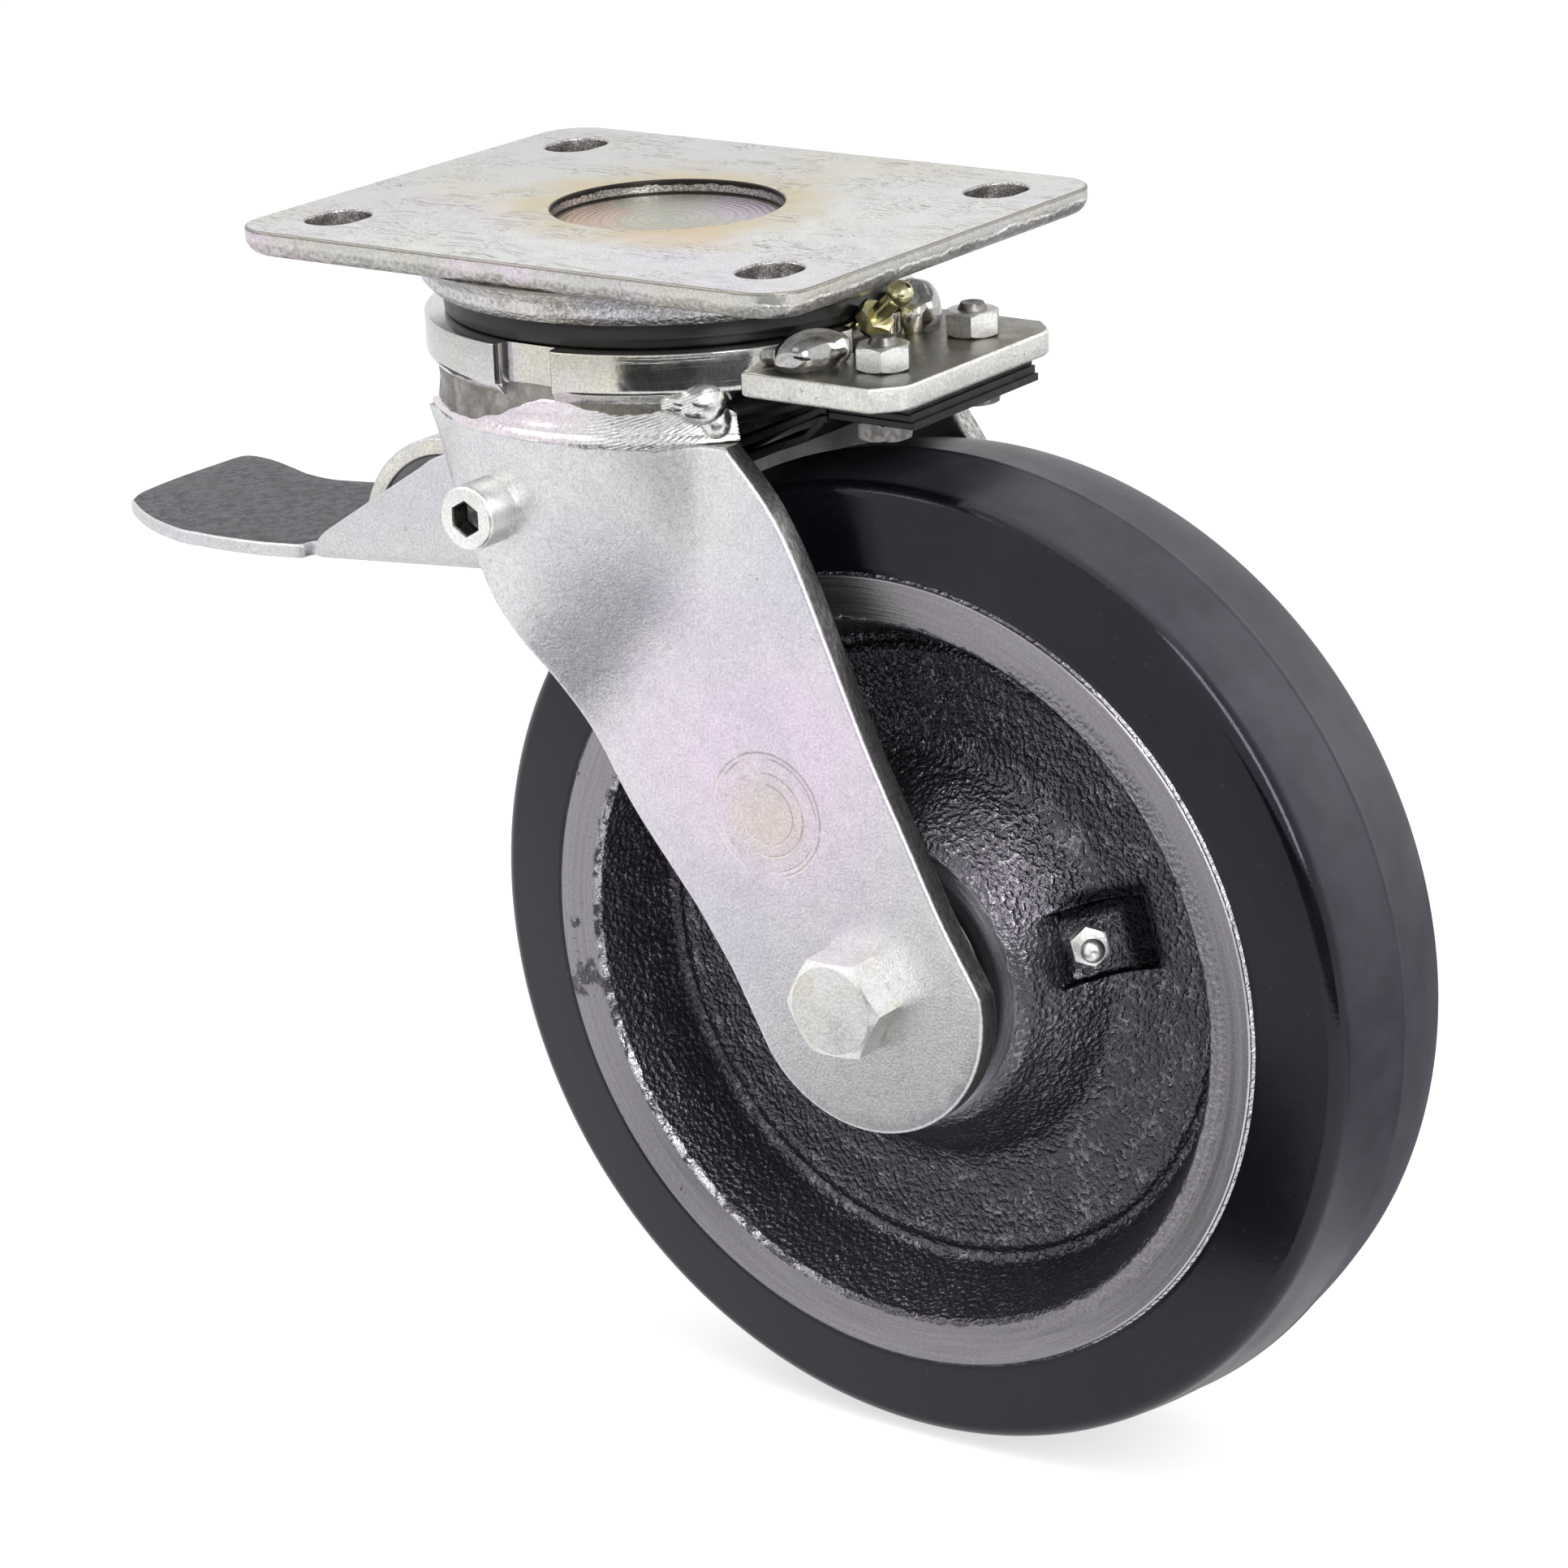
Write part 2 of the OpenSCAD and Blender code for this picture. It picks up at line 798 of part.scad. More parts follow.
module core_section() {
    polygon([[bearing_ro, hub_w / 2], [hub_r - 5, hub_w / 2], [hub_r - 2.2, hub_w / 2 - 0.9],
             [hub_r - 0.2, hub_w / 2 - 2.8], [hub_r + 2, hub_w / 2 - 6.5],
             [hub_r + 7.5, web_x + 5], [hub_r + 10, web_x + 1.8],
             [hub_r + 14, web_x], [wall_foot_r - 4, web_x - 0.8], [wall_foot_r - 1, web_x + 0.8],
             [wall_foot_r + 0.8, web_x + 3], [band_r - 0.6, rim_w / 2 - 1], [band_r, rim_w / 2],
             [rim_r - rim_bevel, rim_w / 2], [rim_r, rim_w / 2 - rim_bevel],
             [rim_r, rim_bevel - rim_w / 2], [rim_r - rim_bevel, -rim_w / 2],
             [band_r, -rim_w / 2], [band_r - 0.6, 1 - rim_w / 2],
             [wall_foot_r + 0.8, -web_x - 3], [wall_foot_r - 1, -web_x - 0.8], [wall_foot_r - 4, 0.8 - web_x],
             [hub_r + 14, -web_x], [hub_r + 10, -web_x - 1.8], [hub_r + 7.5, -web_x - 5],
             [hub_r + 2, 6.5 - hub_w / 2], [hub_r - 0.2, 2.8 - hub_w / 2],
             [hub_r - 2.2, 0.9 - hub_w / 2], [hub_r - 5, -hub_w / 2],
             [bearing_ro, -hub_w / 2], [bearing_ro, -bearing_in], [bearing_ro - 2.5, -bearing_in],
             [bearing_ro - 2.5, bearing_in], [bearing_ro, bearing_in]]);
}

module in_pocket() {
    rotate([pocket_a, 0, 0])
        translate(nipple_seat)
            rotate([0, 0, nipple_tilt])
                children();
}

module wheel_core() {
    color([0.13, 0.13, 0.14])
    at_axle()
        difference() {
            turned()
                core_section();
            in_pocket()
                translate([0, 0, -pocket_w / 2])
                    linear_extrude(pocket_w)
                        polygon([[0, -4], [0, 6], [3.2, 14.4], [24, 0], [18, -16], [5.6, -10.2]]);
        }
}

module hub_nipple() {
    color([0.80, 0.79, 0.74])
    at_axle()
        in_pocket() {
            rod(0, 3, 3, 48);
            translate([3, 0, 0])
                rotate([0, 90, 0])
                    linear_extrude(4)
                        hexagon(7);
            rod(7, 10, 2, 48);
            translate([10.5, 0, 0])
                sphere(r = 2.4, $fn = 48);
        }
}

module tread() {
    color([0.07, 0.07, 0.08])
    at_axle()
        turned()
            polygon([[rim_r, rim_bevel + 0.1 - rim_w / 2], [shoulder_r, -tread_w / 2], [wheel_r, 0],
                     [shoulder_r, tread_w / 2], [rim_r, rim_w / 2 - rim_bevel - 0.1]]);
}

top_plate();
kingpin_nut();
lower_cone();
swivel_head();
thrust_balls();
dust_seal();
lower_cup();
lower_balls();
near_leg();
far_leg();
leg_welds();
swivel_nipple();
spring_bracket();
bracket_welds();
clamp_bolts();
clamp_nuts();
spring_pack();
pivot_screws();
pivot_bushes();
axle_bolt();
axle_nut();
axle_sleeve();
axle_collars();
bearing_inner_rings();
wheel_core();
tread();
bearing_outer_rings();
bearing_balls();
bearing_seals();
hub_nipple();
pedal();
cam_bar();
upper_leaf();
lock_pad();
middle_leaf();
lower_leaf();
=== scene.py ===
import json
import math
from functools import cache

import bmesh
import bpy
import numpy as np
from bpy.props import FloatProperty, FloatVectorProperty, PointerProperty
from mathutils import Matrix, Vector, geometry, noise


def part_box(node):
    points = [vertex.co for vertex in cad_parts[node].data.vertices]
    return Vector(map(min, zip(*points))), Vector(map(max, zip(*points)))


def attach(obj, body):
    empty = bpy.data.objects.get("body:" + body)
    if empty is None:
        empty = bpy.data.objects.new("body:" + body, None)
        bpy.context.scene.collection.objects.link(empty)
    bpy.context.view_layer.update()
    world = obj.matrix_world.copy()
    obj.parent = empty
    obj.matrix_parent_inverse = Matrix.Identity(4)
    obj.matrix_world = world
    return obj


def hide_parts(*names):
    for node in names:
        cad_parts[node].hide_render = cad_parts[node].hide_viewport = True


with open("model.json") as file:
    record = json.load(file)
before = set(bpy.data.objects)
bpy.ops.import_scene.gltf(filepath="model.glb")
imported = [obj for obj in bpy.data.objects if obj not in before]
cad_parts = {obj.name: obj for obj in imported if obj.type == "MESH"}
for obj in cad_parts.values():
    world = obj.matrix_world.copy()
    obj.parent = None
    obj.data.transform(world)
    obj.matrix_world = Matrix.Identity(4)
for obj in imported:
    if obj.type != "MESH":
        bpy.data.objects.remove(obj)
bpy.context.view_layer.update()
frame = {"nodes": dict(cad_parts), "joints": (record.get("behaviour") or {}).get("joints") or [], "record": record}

bl_info = {
    "name": "Swivel castor",
    "version": (1, 0, 0),
    "blender": (4, 5, 0),
    "location": "View3D > Sidebar > Castor",
    "description": "Dresses the packed castor with its formed surfaces, welds and finishes",
    "category": "Object",
}

# Millimetres in a metre
MM = 1000
JOINT_AT = {j["name"]: [MM * v for v in j["pos_m"]] for j in frame["joints"]}
AXLE_Y, AXLE_Z = JOINT_AT["wheel_spin"][1:]
PIVOT_Y, PIVOT_Z = JOINT_AT["pedal_pivot"][1:]
BOLTS = next(m for m in frame["record"]["mounts"] if m["name"] == "plate_bolts")["dims"]
FLOOR_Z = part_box("tread")[0].z


def node_span(name):
    """Lowest and highest corner of a CAD node, in millimetres."""
    low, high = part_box(name)
    return low * MM, high * MM


def metres(verts):
    """Points in metres, from millimetres."""
    return [(x / MM, y / MM, z / MM) for x, y, z in verts]


PLATE_HIGH = node_span("top_plate")[1]
BRACKET_LOW, BRACKET_HIGH = node_span("spring_bracket")
SEAL_LOW, SEAL_HIGH = node_span("dust_seal")
FLANGE_R = node_span("swivel_head")[1].y
RIM_W = 2 * node_span("tread")[1].x + 2.0
SHOULDER_R = 98.9
LEG_OUT = 37.0
POCKET_TURN, POCKET_LEAN = math.radians(15), math.radians(40)


class CastorSizes(bpy.types.PropertyGroup):
    """Sizes of the castor's edges, welds and moulded lines."""

    plate_lip: FloatProperty(name="Plate lip", description="Radius of the plate's upper edge",
                             default=0.0005, min=0.0002, max=0.0012, unit="LENGTH")
    plate_skirt: FloatProperty(name="Plate skirt", description="Radius of the forged edge under the plate",
                               default=0.0034, min=0.001, max=0.0036, unit="LENGTH")
    leg_lip: FloatProperty(name="Leg lip", description="Radius of the legs' cut edges",
                           default=0.0009, min=0.0003, max=0.002, unit="LENGTH")
    leg_blend: FloatProperty(name="Leg blend", description="Softness of the pressed bend in the legs",
                             default=0.003, min=0.001, max=0.01, unit="LENGTH")
    weld_ripple: FloatProperty(name="Weld ripple", description="Height of the ripples in the neck welds",
                               default=0.00014, min=0.00005, max=0.0006, unit="LENGTH")
    pedal_lip: FloatProperty(name="Pedal lip", description="Radius of the pedal's cut edges",
                             default=0.0006, min=0.0002, max=0.0014, unit="LENGTH")
    shoulder: FloatProperty(name="Tread shoulder", description="Radius of the tread's shoulders",
                            default=0.0040, min=0.001, max=0.006, unit="LENGTH")
    mould_line: FloatProperty(name="Mould line", description="Height of the line round the tread's crown",
                              default=0.00018, min=0.0, max=0.0005, unit="LENGTH")
    thread_pitch: FloatProperty(name="Thread pitch", description="Pitch of the clamp bolts' thread",
                                default=0.001, min=0.0005, max=0.002, unit="LENGTH")


class CastorColours(bpy.types.PropertyGroup):
    """Colours of the castor's finishes."""

    zinc: FloatVectorProperty(name="Zinc", description="Bright zinc plate", subtype="COLOR", size=4,
                              default=(0.70, 0.70, 0.69, 1), min=0, max=1)
    straw: FloatVectorProperty(name="Straw tint", description="Yellow passivation stain", subtype="COLOR", size=4,
                               default=(0.74, 0.67, 0.48, 1), min=0, max=1)
    lilac: FloatVectorProperty(name="Lilac tint", description="Violet passivation stain", subtype="COLOR", size=4,
                               default=(0.68, 0.65, 0.74, 1), min=0, max=1)
    pink: FloatVectorProperty(name="Pink tint", description="Pink passivation stain", subtype="COLOR", size=4,
                              default=(0.86, 0.71, 0.87, 1), min=0, max=1)
    fastener: FloatVectorProperty(name="Fastener", description="Plated bolts and nuts", subtype="COLOR", size=4,
                                  default=(0.96, 0.955, 0.935, 1), min=0, max=1)
    brass_zinc: FloatVectorProperty(name="Yellow zinc", description="Yellow passivated nipple", subtype="COLOR",
                                    size=4,
                                    default=(0.78, 0.72, 0.38, 1), min=0, max=1)
    paint: FloatVectorProperty(name="Core skin", description="Black skin of the cast core", subtype="COLOR",
                               size=4,
                               default=(0.115, 0.107, 0.125, 1), min=0, max=1)
    band: FloatVectorProperty(name="Machined band", description="Bare turned band of the rim", subtype="COLOR",
                              size=4,
                              default=(0.26, 0.245, 0.265, 1), min=0, max=1)
    rubber: FloatVectorProperty(name="Rubber", description="Moulded tread rubber", subtype="COLOR", size=4,
                                default=(0.0055, 0.0047, 0.0085, 1), min=0, max=1)
    spring: FloatVectorProperty(name="Spring steel", description="Blackened leaves", subtype="COLOR", size=4,
                                default=(0.016, 0.015, 0.018, 1), min=0, max=1)
    pedal_top: FloatVectorProperty(name="Pedal top", description="Dark grey top of the pedal", subtype="COLOR",
                                   size=4,
                                   default=(0.085, 0.081, 0.092, 1), min=0, max=1)
    bearing: FloatVectorProperty(name="Bearing steel", description="Ground rings and balls", subtype="COLOR",
                                 size=4,
                                 default=(0.58, 0.58, 0.60, 1), min=0, max=1)


def sizes():
    return bpy.context.scene.castor_sizes


def colours():
    return bpy.context.scene.castor_colours


# Outlines

def fillet(points, radius, steps=6, closed=True):
    """Outline with its corners rounded, by one radius or one for each corner."""
    corners = [Vector(p) for p in points]
    count = len(corners)
    radii = list(radius) if hasattr(radius, "__len__") else [radius] * count
    out = []
    for i, corner in enumerate(corners):
        a = corners[i - 1] - corner
        b = corners[(i + 1) % count] - corner
        end = not closed and i in (0, count - 1)
        if radii[i] <= 0 or end or min(a.length, b.length) < 1e-6:
            out.append(corner)
            continue
        room = 0.49 * min(a.length, b.length)
        a.normalize()
        b.normalize()
        half = a.angle(b) / 2
        if half > math.pi / 2 - 0.02 or half < 0.01:
            out.append(corner)
            continue
        reach = min(radii[i] / math.tan(half), room)
        centre = corner + (a + b).normalized() * (reach * math.tan(half) / math.sin(half))
        start, stop = corner + a * reach - centre, corner + b * reach - centre
        turn = math.pi - 2 * half
        for k in range(steps + 1):
            w = k / steps
            out.append(centre + (start * math.sin((1 - w) * turn) + stop * math.sin(w * turn)) / math.sin(turn))
    return np.array([(p.x, p.y) for p in out])


def resample(points, step, closed=True):
    """Outline with points no further apart than step; a closed one bows outwards by a hair on long runs."""
    out = []
    count = len(points)
    for i in range(count if closed else count - 1):
        a, b = points[i], points[(i + 1) % count]
        parts = max(1, int(math.ceil(np.hypot(*(b - a)) / step)))
        bow = 0.003 * np.array([b[1] - a[1], a[0] - b[0]]) * closed
        out += [a + (b - a) * k / parts + bow * (k / parts) * (1 - k / parts) for k in range(parts)]
    if not closed:
        out.append(points[-1])
    return np.array(out)


def circle(centre, r, count=64, start=0.0, stop=math.tau):
    whole = abs(stop - start) > math.tau - 1e-6
    turn = np.linspace(start, stop, count, endpoint=not whole)
    return np.c_[centre[0] + r * np.cos(turn), centre[1] + r * np.sin(turn)]


def hole(loop):
    """Same outline run the other way, so that the material is on its left."""
    return np.asarray(loop)[::-1]


def spline(points, per=8):
    """Smooth open curve through the points."""
    p = np.asarray(points, float)
    ends = np.vstack([2 * p[0] - p[1], p, 2 * p[-1] - p[-2]])
    out = []
    for i in range(1, len(ends) - 2):
        a, b, c, d = ends[i - 1:i + 3]
        for k in range(per):
            t = k / per
            out.append(0.5 * (2 * b + (c - a) * t + (2 * a - 5 * b + 4 * c - d) * t * t
                              + (3 * b - a - 3 * c + d) * t ** 3))
    out.append(p[-1])
    return np.array(out)


def inset(loop, distance):
    """Outline moved to its left."""
    before = loop - np.roll(loop, 1, 0)
    after = np.roll(loop, -1, 0) - loop
    left = []
    for run in (before, after):
        length = np.maximum(np.hypot(run[:, 0], run[:, 1]), 1e-9)
        left.append(np.c_[-run[:, 1], run[:, 0]] / length[:, None])
    middle = left[0] + left[1]
    middle /= np.maximum(np.hypot(middle[:, 0], middle[:, 1]), 1e-9)[:, None]
    return loop + middle * (distance / np.maximum((middle * left[1]).sum(1), 0.4))[:, None]


def inside(points, loops):
    """Which points lie within the outlines, holes left out."""
    x, y = points[:, 0], points[:, 1]
    hit = np.zeros(len(points), bool)
    for loop in loops:
        for (x0, y0), (x1, y1) in zip(loop, np.roll(loop, -1, 0)):
            if y0 != y1:
                hit ^= ((y0 > y) != (y1 > y)) & (x < (x1 - x0) * (y - y0) / (y1 - y0) + x0)
    return hit


def shoelace(loop):
    x, y = loop[:, 0], loop[:, 1]
    return 0.5 * float(np.sum(x * np.roll(y, -1) - np.roll(x, -1) * y))


def soft_min(a, b, k):
    h = np.clip(0.5 + 0.5 * (b - a) / k, 0, 1)
    return b * (1 - h) + a * h - k * h * (1 - h)


def soft_max(a, b, k):
    return -soft_min(-a, -b, k)


# Solids, in millimetres

def cap(rings, grid, verts, surface):
    """Triangles that close a face of a slab, with a lattice of inner points where it is curved."""
    loops = [ring for ring, _ in rings]
    points = np.vstack(loops)
    index = [i for _, ids in rings for i in ids]
    edges, start = [], 0
    for loop in loops:
        count = len(loop)
        edges += [(start + i, start + (i + 1) % count) for i in range(count)]
        start += count
    if grid:
        low, high = points.min(0), points.max(0)
        xs, ys = np.arange(low[0] + grid / 2, high[0], grid), np.arange(low[1] + grid / 2, high[1], grid)
        lattice = np.array([(x + (0.5 * grid if j % 2 else 0), y) for j, y in enumerate(ys) for x in xs])
        lattice = lattice[inside(lattice, loops)]
        near = np.array([np.hypot(*(points - q).T).min() for q in lattice])
        lattice = lattice[near > 0.55 * grid]
        index += list(range(len(verts), len(verts) + len(lattice)))
        verts += [tuple(p) for p in surface(lattice)]
        points = np.vstack([points, lattice])
    flat, _, triangles, origin, _, _ = geometry.delaunay_2d_cdt([Vector(p) for p in points], edges, [], 0, 1e-7)
    flat = np.array([(p.x, p.y) for p in flat])
    middles = np.array([flat[list(t)].mean(0) for t in triangles])
    kept = inside(middles, loops)
    return [tuple(index[origin[i][0]] for i in t) for t, keep in zip(triangles, kept) if keep]


def slab(loops, top, low, thick, lips, steps=3, grid=0, marks=(0, 0, 0)):
    """Closed plate between two surfaces. The first outline runs anticlockwise and holes clockwise,
    and each has a lip radius at the top and at the bottom. Marks give the materials of top, rim and bottom,
    and may end with that of the upper lip."""
    verts, faces, slots = [], [], []
    caps = ([], [])
    for loop, (upper, under) in zip(loops, lips):
        turns = np.linspace(0, math.pi / 2, steps + 1)
        rings = [(upper * (1 - math.sin(a)), upper * (1 - math.cos(a))) for a in turns]
        rings += [(under * (1 - math.sin(a)), thick - under * (1 - math.cos(a))) for a in turns[::-1]]
        last = None
        for k, (distance, depth) in enumerate(rings):
            ring = inset(loop, distance)
            share = depth / thick
            ids = list(range(len(verts), len(verts) + len(ring)))
            verts += [tuple(p) for p in top(ring) * (1 - share) + low(ring) * share]
            if last:
                count = len(ids)
                faces += [(last[i], last[(i + 1) % count], ids[(i + 1) % count], ids[i]) for i in range(count)]
                slots += [marks[3] if k <= steps and len(marks) > 3 else marks[1]] * count
            last = ids
            if k == 0:
                caps[0].append((ring, ids))
        caps[1].append((ring, ids))
    for rings, surface, mark in ((caps[0], top, marks[0]), (caps[1], low, marks[2])):
        closed = cap(rings, grid, verts, surface)
        faces += closed
        slots += [mark] * len(closed)
    return verts, faces, slots


def flat_slab(loops, z_top, z_low, lips, marks=(0, 0, 0), steps=3):
    """Slab between two heights."""
    def at(z):
        return lambda q: np.c_[q, np.full(len(q), z)]
    return slab(loops, at(z_top), at(z_low), z_top - z_low, lips, steps, 0, marks)


def side_slab(loops, x_out, x_in, lips, marks=(0, 0, 0), steps=3):
    """Slab drawn in the YZ plane between two X values."""
    def at(x):
        return lambda q: np.c_[np.full(len(q), x), q]
    return slab(loops, at(x_out), at(x_in), abs(x_out - x_in), lips, steps, 0, marks)


def spin(profile_at, turns, place, whole=True, mark=0):
    """Solid from a closed profile of radius and height that may change from turn to turn."""
    rows = [profile_at(a) for a in turns]
    count, width = len(rows), len(rows[0])
    verts = [place(r, h, a) for a, row in zip(turns, rows) for r, h in row]
    faces = []
    for i in range(count if whole else count - 1):
        j = (i + 1) % count
        faces += [(i * width + k, j * width + k, j * width + (k + 1) % width, i * width + (k + 1) % width)
                  for k in range(width)]
    if not whole:
        faces += [tuple(range(width)), tuple((count - 1) * width + k for k in range(width))]
    return verts, faces, [mark] * len(faces)


def on_axle(r, h, a):
    return h, AXLE_Y + r * math.cos(a), AXLE_Z + r * math.sin(a)


def on_swivel(r, h, a):
    return r * math.cos(a), r * math.sin(a), h


def lathe(profile, place, count=128, mark=0):
    turns = np.linspace(0, math.tau, count, endpoint=False)
    return spin(lambda a: profile, turns, place, True, mark)


def shell(outer, inner, mark=0):
    """Closed skin between two grids of points of the same size."""
    rows, cols = outer.shape[:2]
    verts = [tuple(p) for p in outer.reshape(-1, 3)] + [tuple(p) for p in inner.reshape(-1, 3)]
    off = rows * cols
    faces = []
    for base in (0, off):
        faces += [(base + i * cols + j, base + i * cols + j + 1, base + (i + 1) * cols + j + 1,
                   base + (i + 1) * cols + j)
                  for i in range(rows - 1) for j in range(cols - 1)]
    rim = [j for j in range(cols)] + [i * cols + cols - 1 for i in range(1, rows)]
    rim += [(rows - 1) * cols + j for j in range(cols - 2, -1, -1)] + [i * cols for i in range(rows - 2, 0, -1)]
    faces += [(a, b, b + off, a + off) for a, b in zip(rim, rim[1:] + rim[:1])]
    return verts, faces, [mark] * len(faces)


def remark(part, mark, chosen):
    """Gives a material to the faces of a solid that are chosen by their mark and middle."""
    verts, faces, slots = part
    for k, face in enumerate(faces):
        if chosen(slots[k], np.mean([verts[i] for i in face], 0)):
            slots[k] = mark


def hex_radius(a, af):
    """Distance from the middle to a hexagon's side in one direction."""
    return af / 2 / math.cos((a + math.pi / 6) % (math.pi / 3) - math.pi / 6)


def hex_turns(count=12):
    """Directions round a hexagon, with its corners among them."""
    return np.linspace(0, math.tau, 6 * count, endpoint=False) + math.pi / 6


def hex_profile(a, af, low, high, bore=0.0, both=False):
    """Half section of a hexagon with its corners turned off."""
    r = hex_radius(a, af)
    flat = 0.47 * af
    drop = max(0.0, (r - flat)) * math.tan(math.radians(30))
    foot = [(flat, low), (r, low + drop)] if both else [(flat, low), (r, low + 0.01)]
    return [(bore, low)] + foot + [(r, high - drop), (flat, high), (bore, high)]


def piece(name, parts, body, nodes, materials, sharp=32):
    """Object from solids in millimetres that rides on a body and stands for CAD nodes."""
    mesh = bpy.data.meshes.new(name)
    verts, faces, slots = [], [], []
    for part_verts, part_faces, part_slots in parts:
        base = len(verts)
        verts += part_verts
        faces += [tuple(base + i for i in f) for f in part_faces]
        slots += part_slots
    mesh.from_pydata(metres(verts), [], faces)
    mesh.polygons.foreach_set("material_index", slots)
    for material in materials:
        mesh.materials.append(material)
    finish_mesh(mesh, sharp)
    obj = bpy.data.objects.new(name, mesh)
    bpy.context.scene.collection.objects.link(obj)
    return settle(obj, body, nodes)


def finish_mesh(mesh, sharp):
    """Closes seams, points the faces outwards and smooths all but the sharp edges."""
    work = bmesh.new()
    work.from_mesh(mesh)
    bmesh.ops.remove_doubles(work, verts=work.verts, dist=1e-7)
    bmesh.ops.dissolve_degenerate(work, edges=work.edges, dist=1e-7)
    bmesh.ops.delete(work, geom=[e for e in work.edges if not e.link_faces], context="EDGES")
    bmesh.ops.recalc_face_normals(work, faces=work.faces)
    work.to_mesh(mesh)
    work.free()
    mesh.polygons.foreach_set("use_smooth", [True] * len(mesh.polygons))
    mesh.set_sharp_from_angle(angle=math.radians(sharp))
    mesh.update()


def settle(obj, body, nodes):
    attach(obj, body)
    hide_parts(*nodes)
    return obj


def carved(name, solid, cutter, sharp):
    """Plain mesh of a solid with another cut out of it."""
    pair = []
    for label, (verts, faces, _) in ((name, solid), (name + "_cut", cutter)):
        mesh = bpy.data.meshes.new(label)
        mesh.from_pydata(metres(verts), [], faces)
        finish_mesh(mesh, sharp)
        pair.append(bpy.data.objects.new(label, mesh))
        bpy.context.scene.collection.objects.link(pair[-1])
    cut = pair[0].modifiers.new("Pocket", "BOOLEAN")
    cut.operation = "DIFFERENCE"
    cut.solver = "EXACT"
    cut.object = pair[1]
    result = bpy.data.meshes.new_from_object(pair[0].evaluated_get(bpy.context.evaluated_depsgraph_get()))
    for obj in pair:
        bpy.data.objects.remove(obj)
    finish_mesh(result, sharp)
    return result


# Node trees

class Graph:
    """Short calls that build a node tree."""

    def __init__(self, tree):
        self.tree = tree

    def add(self, kind, sockets=None, **settings):
        made = self.tree.nodes.new(kind)
        for key, value in settings.items():
            setattr(made, key, value)
        for key, value in (sockets or {}).items():
            if isinstance(value, bpy.types.NodeSocket):
                self.tree.links.new(value, made.inputs[key])
            else:
                made.inputs[key].default_value = value
        return made

    def math(self, operation, a, b=0.0):
        return self.add("ShaderNodeMath", {0: a, 1: b}, operation=operation).outputs[0]

    def fit(self, value, low, high, to_low=0.0, to_high=1.0):
        return self.add("ShaderNodeMapRange", {"Value": value, "From Min": low, "From Max": high, "To Min": to_low,
                                               "To Max": to_high}, interpolation_type="SMOOTHSTEP").outputs[0]

    def mix(self, factor, a, b, blend="MIX"):
        return self.add("ShaderNodeMix", {0: factor, 6: a, 7: b}, data_type="RGBA", blend_type=blend).outputs[2]

    def noise(self, vector, scale, detail=2.0, rough=0.5, warp=0.0):
        return self.add("ShaderNodeTexNoise",
                        {"Vector": vector, "Scale": scale, "Detail": detail, "Roughness": rough,
                                               "Distortion": warp}).outputs[0]

    def vector(self, operation, a, b=(0, 0, 0)):
        made = self.add("ShaderNodeVectorMath", {0: a, 1: b}, operation=operation)
        return made.outputs[1] if operation in ("LENGTH", "DISTANCE", "DOT_PRODUCT") else made.outputs[0]

    def mapped(self, vector, turn=(0, 0, 0), scale=(1, 1, 1), move=(0, 0, 0)):
        return self.add("ShaderNodeMapping",
                        {"Vector": vector, "Rotation": [math.radians(t) for t in turn], "Scale": scale,
                                              "Location": move}).outputs[0]

    def split(self, vector):
        return self.add("ShaderNodeSeparateXYZ", {0: vector}).outputs

    def times(self, a, b):
        return self.math("MULTIPLY", a, b)

    def plus(self, a, b):
        return self.math("ADD", a, b)

    def minus(self, a, b):
        return self.math("SUBTRACT", a, b)

    def most(self, a, b):
        return self.math("MAXIMUM", a, b)

    def join(self, x, y, z):
        return self.add("ShaderNodeCombineXYZ", {0: x, 1: y, 2: z}).outputs[0]


def shader_group(name, inputs, outputs):
    """Empty shader group with its sockets, as a graph with its input and output sockets."""
    tree = bpy.data.node_groups.new(name, "ShaderNodeTree")
    for kind, label, default in inputs:
        socket = tree.interface.new_socket(label, in_out="INPUT", socket_type="NodeSocket" + kind)
        if default is not None:
            socket.default_value = default
    for kind, label in outputs:
        tree.interface.new_socket(label, in_out="OUTPUT", socket_type="NodeSocket" + kind)
    graph = Graph(tree)
    return graph, tree.nodes.new("NodeGroupInput").outputs, tree.nodes.new("NodeGroupOutput").inputs


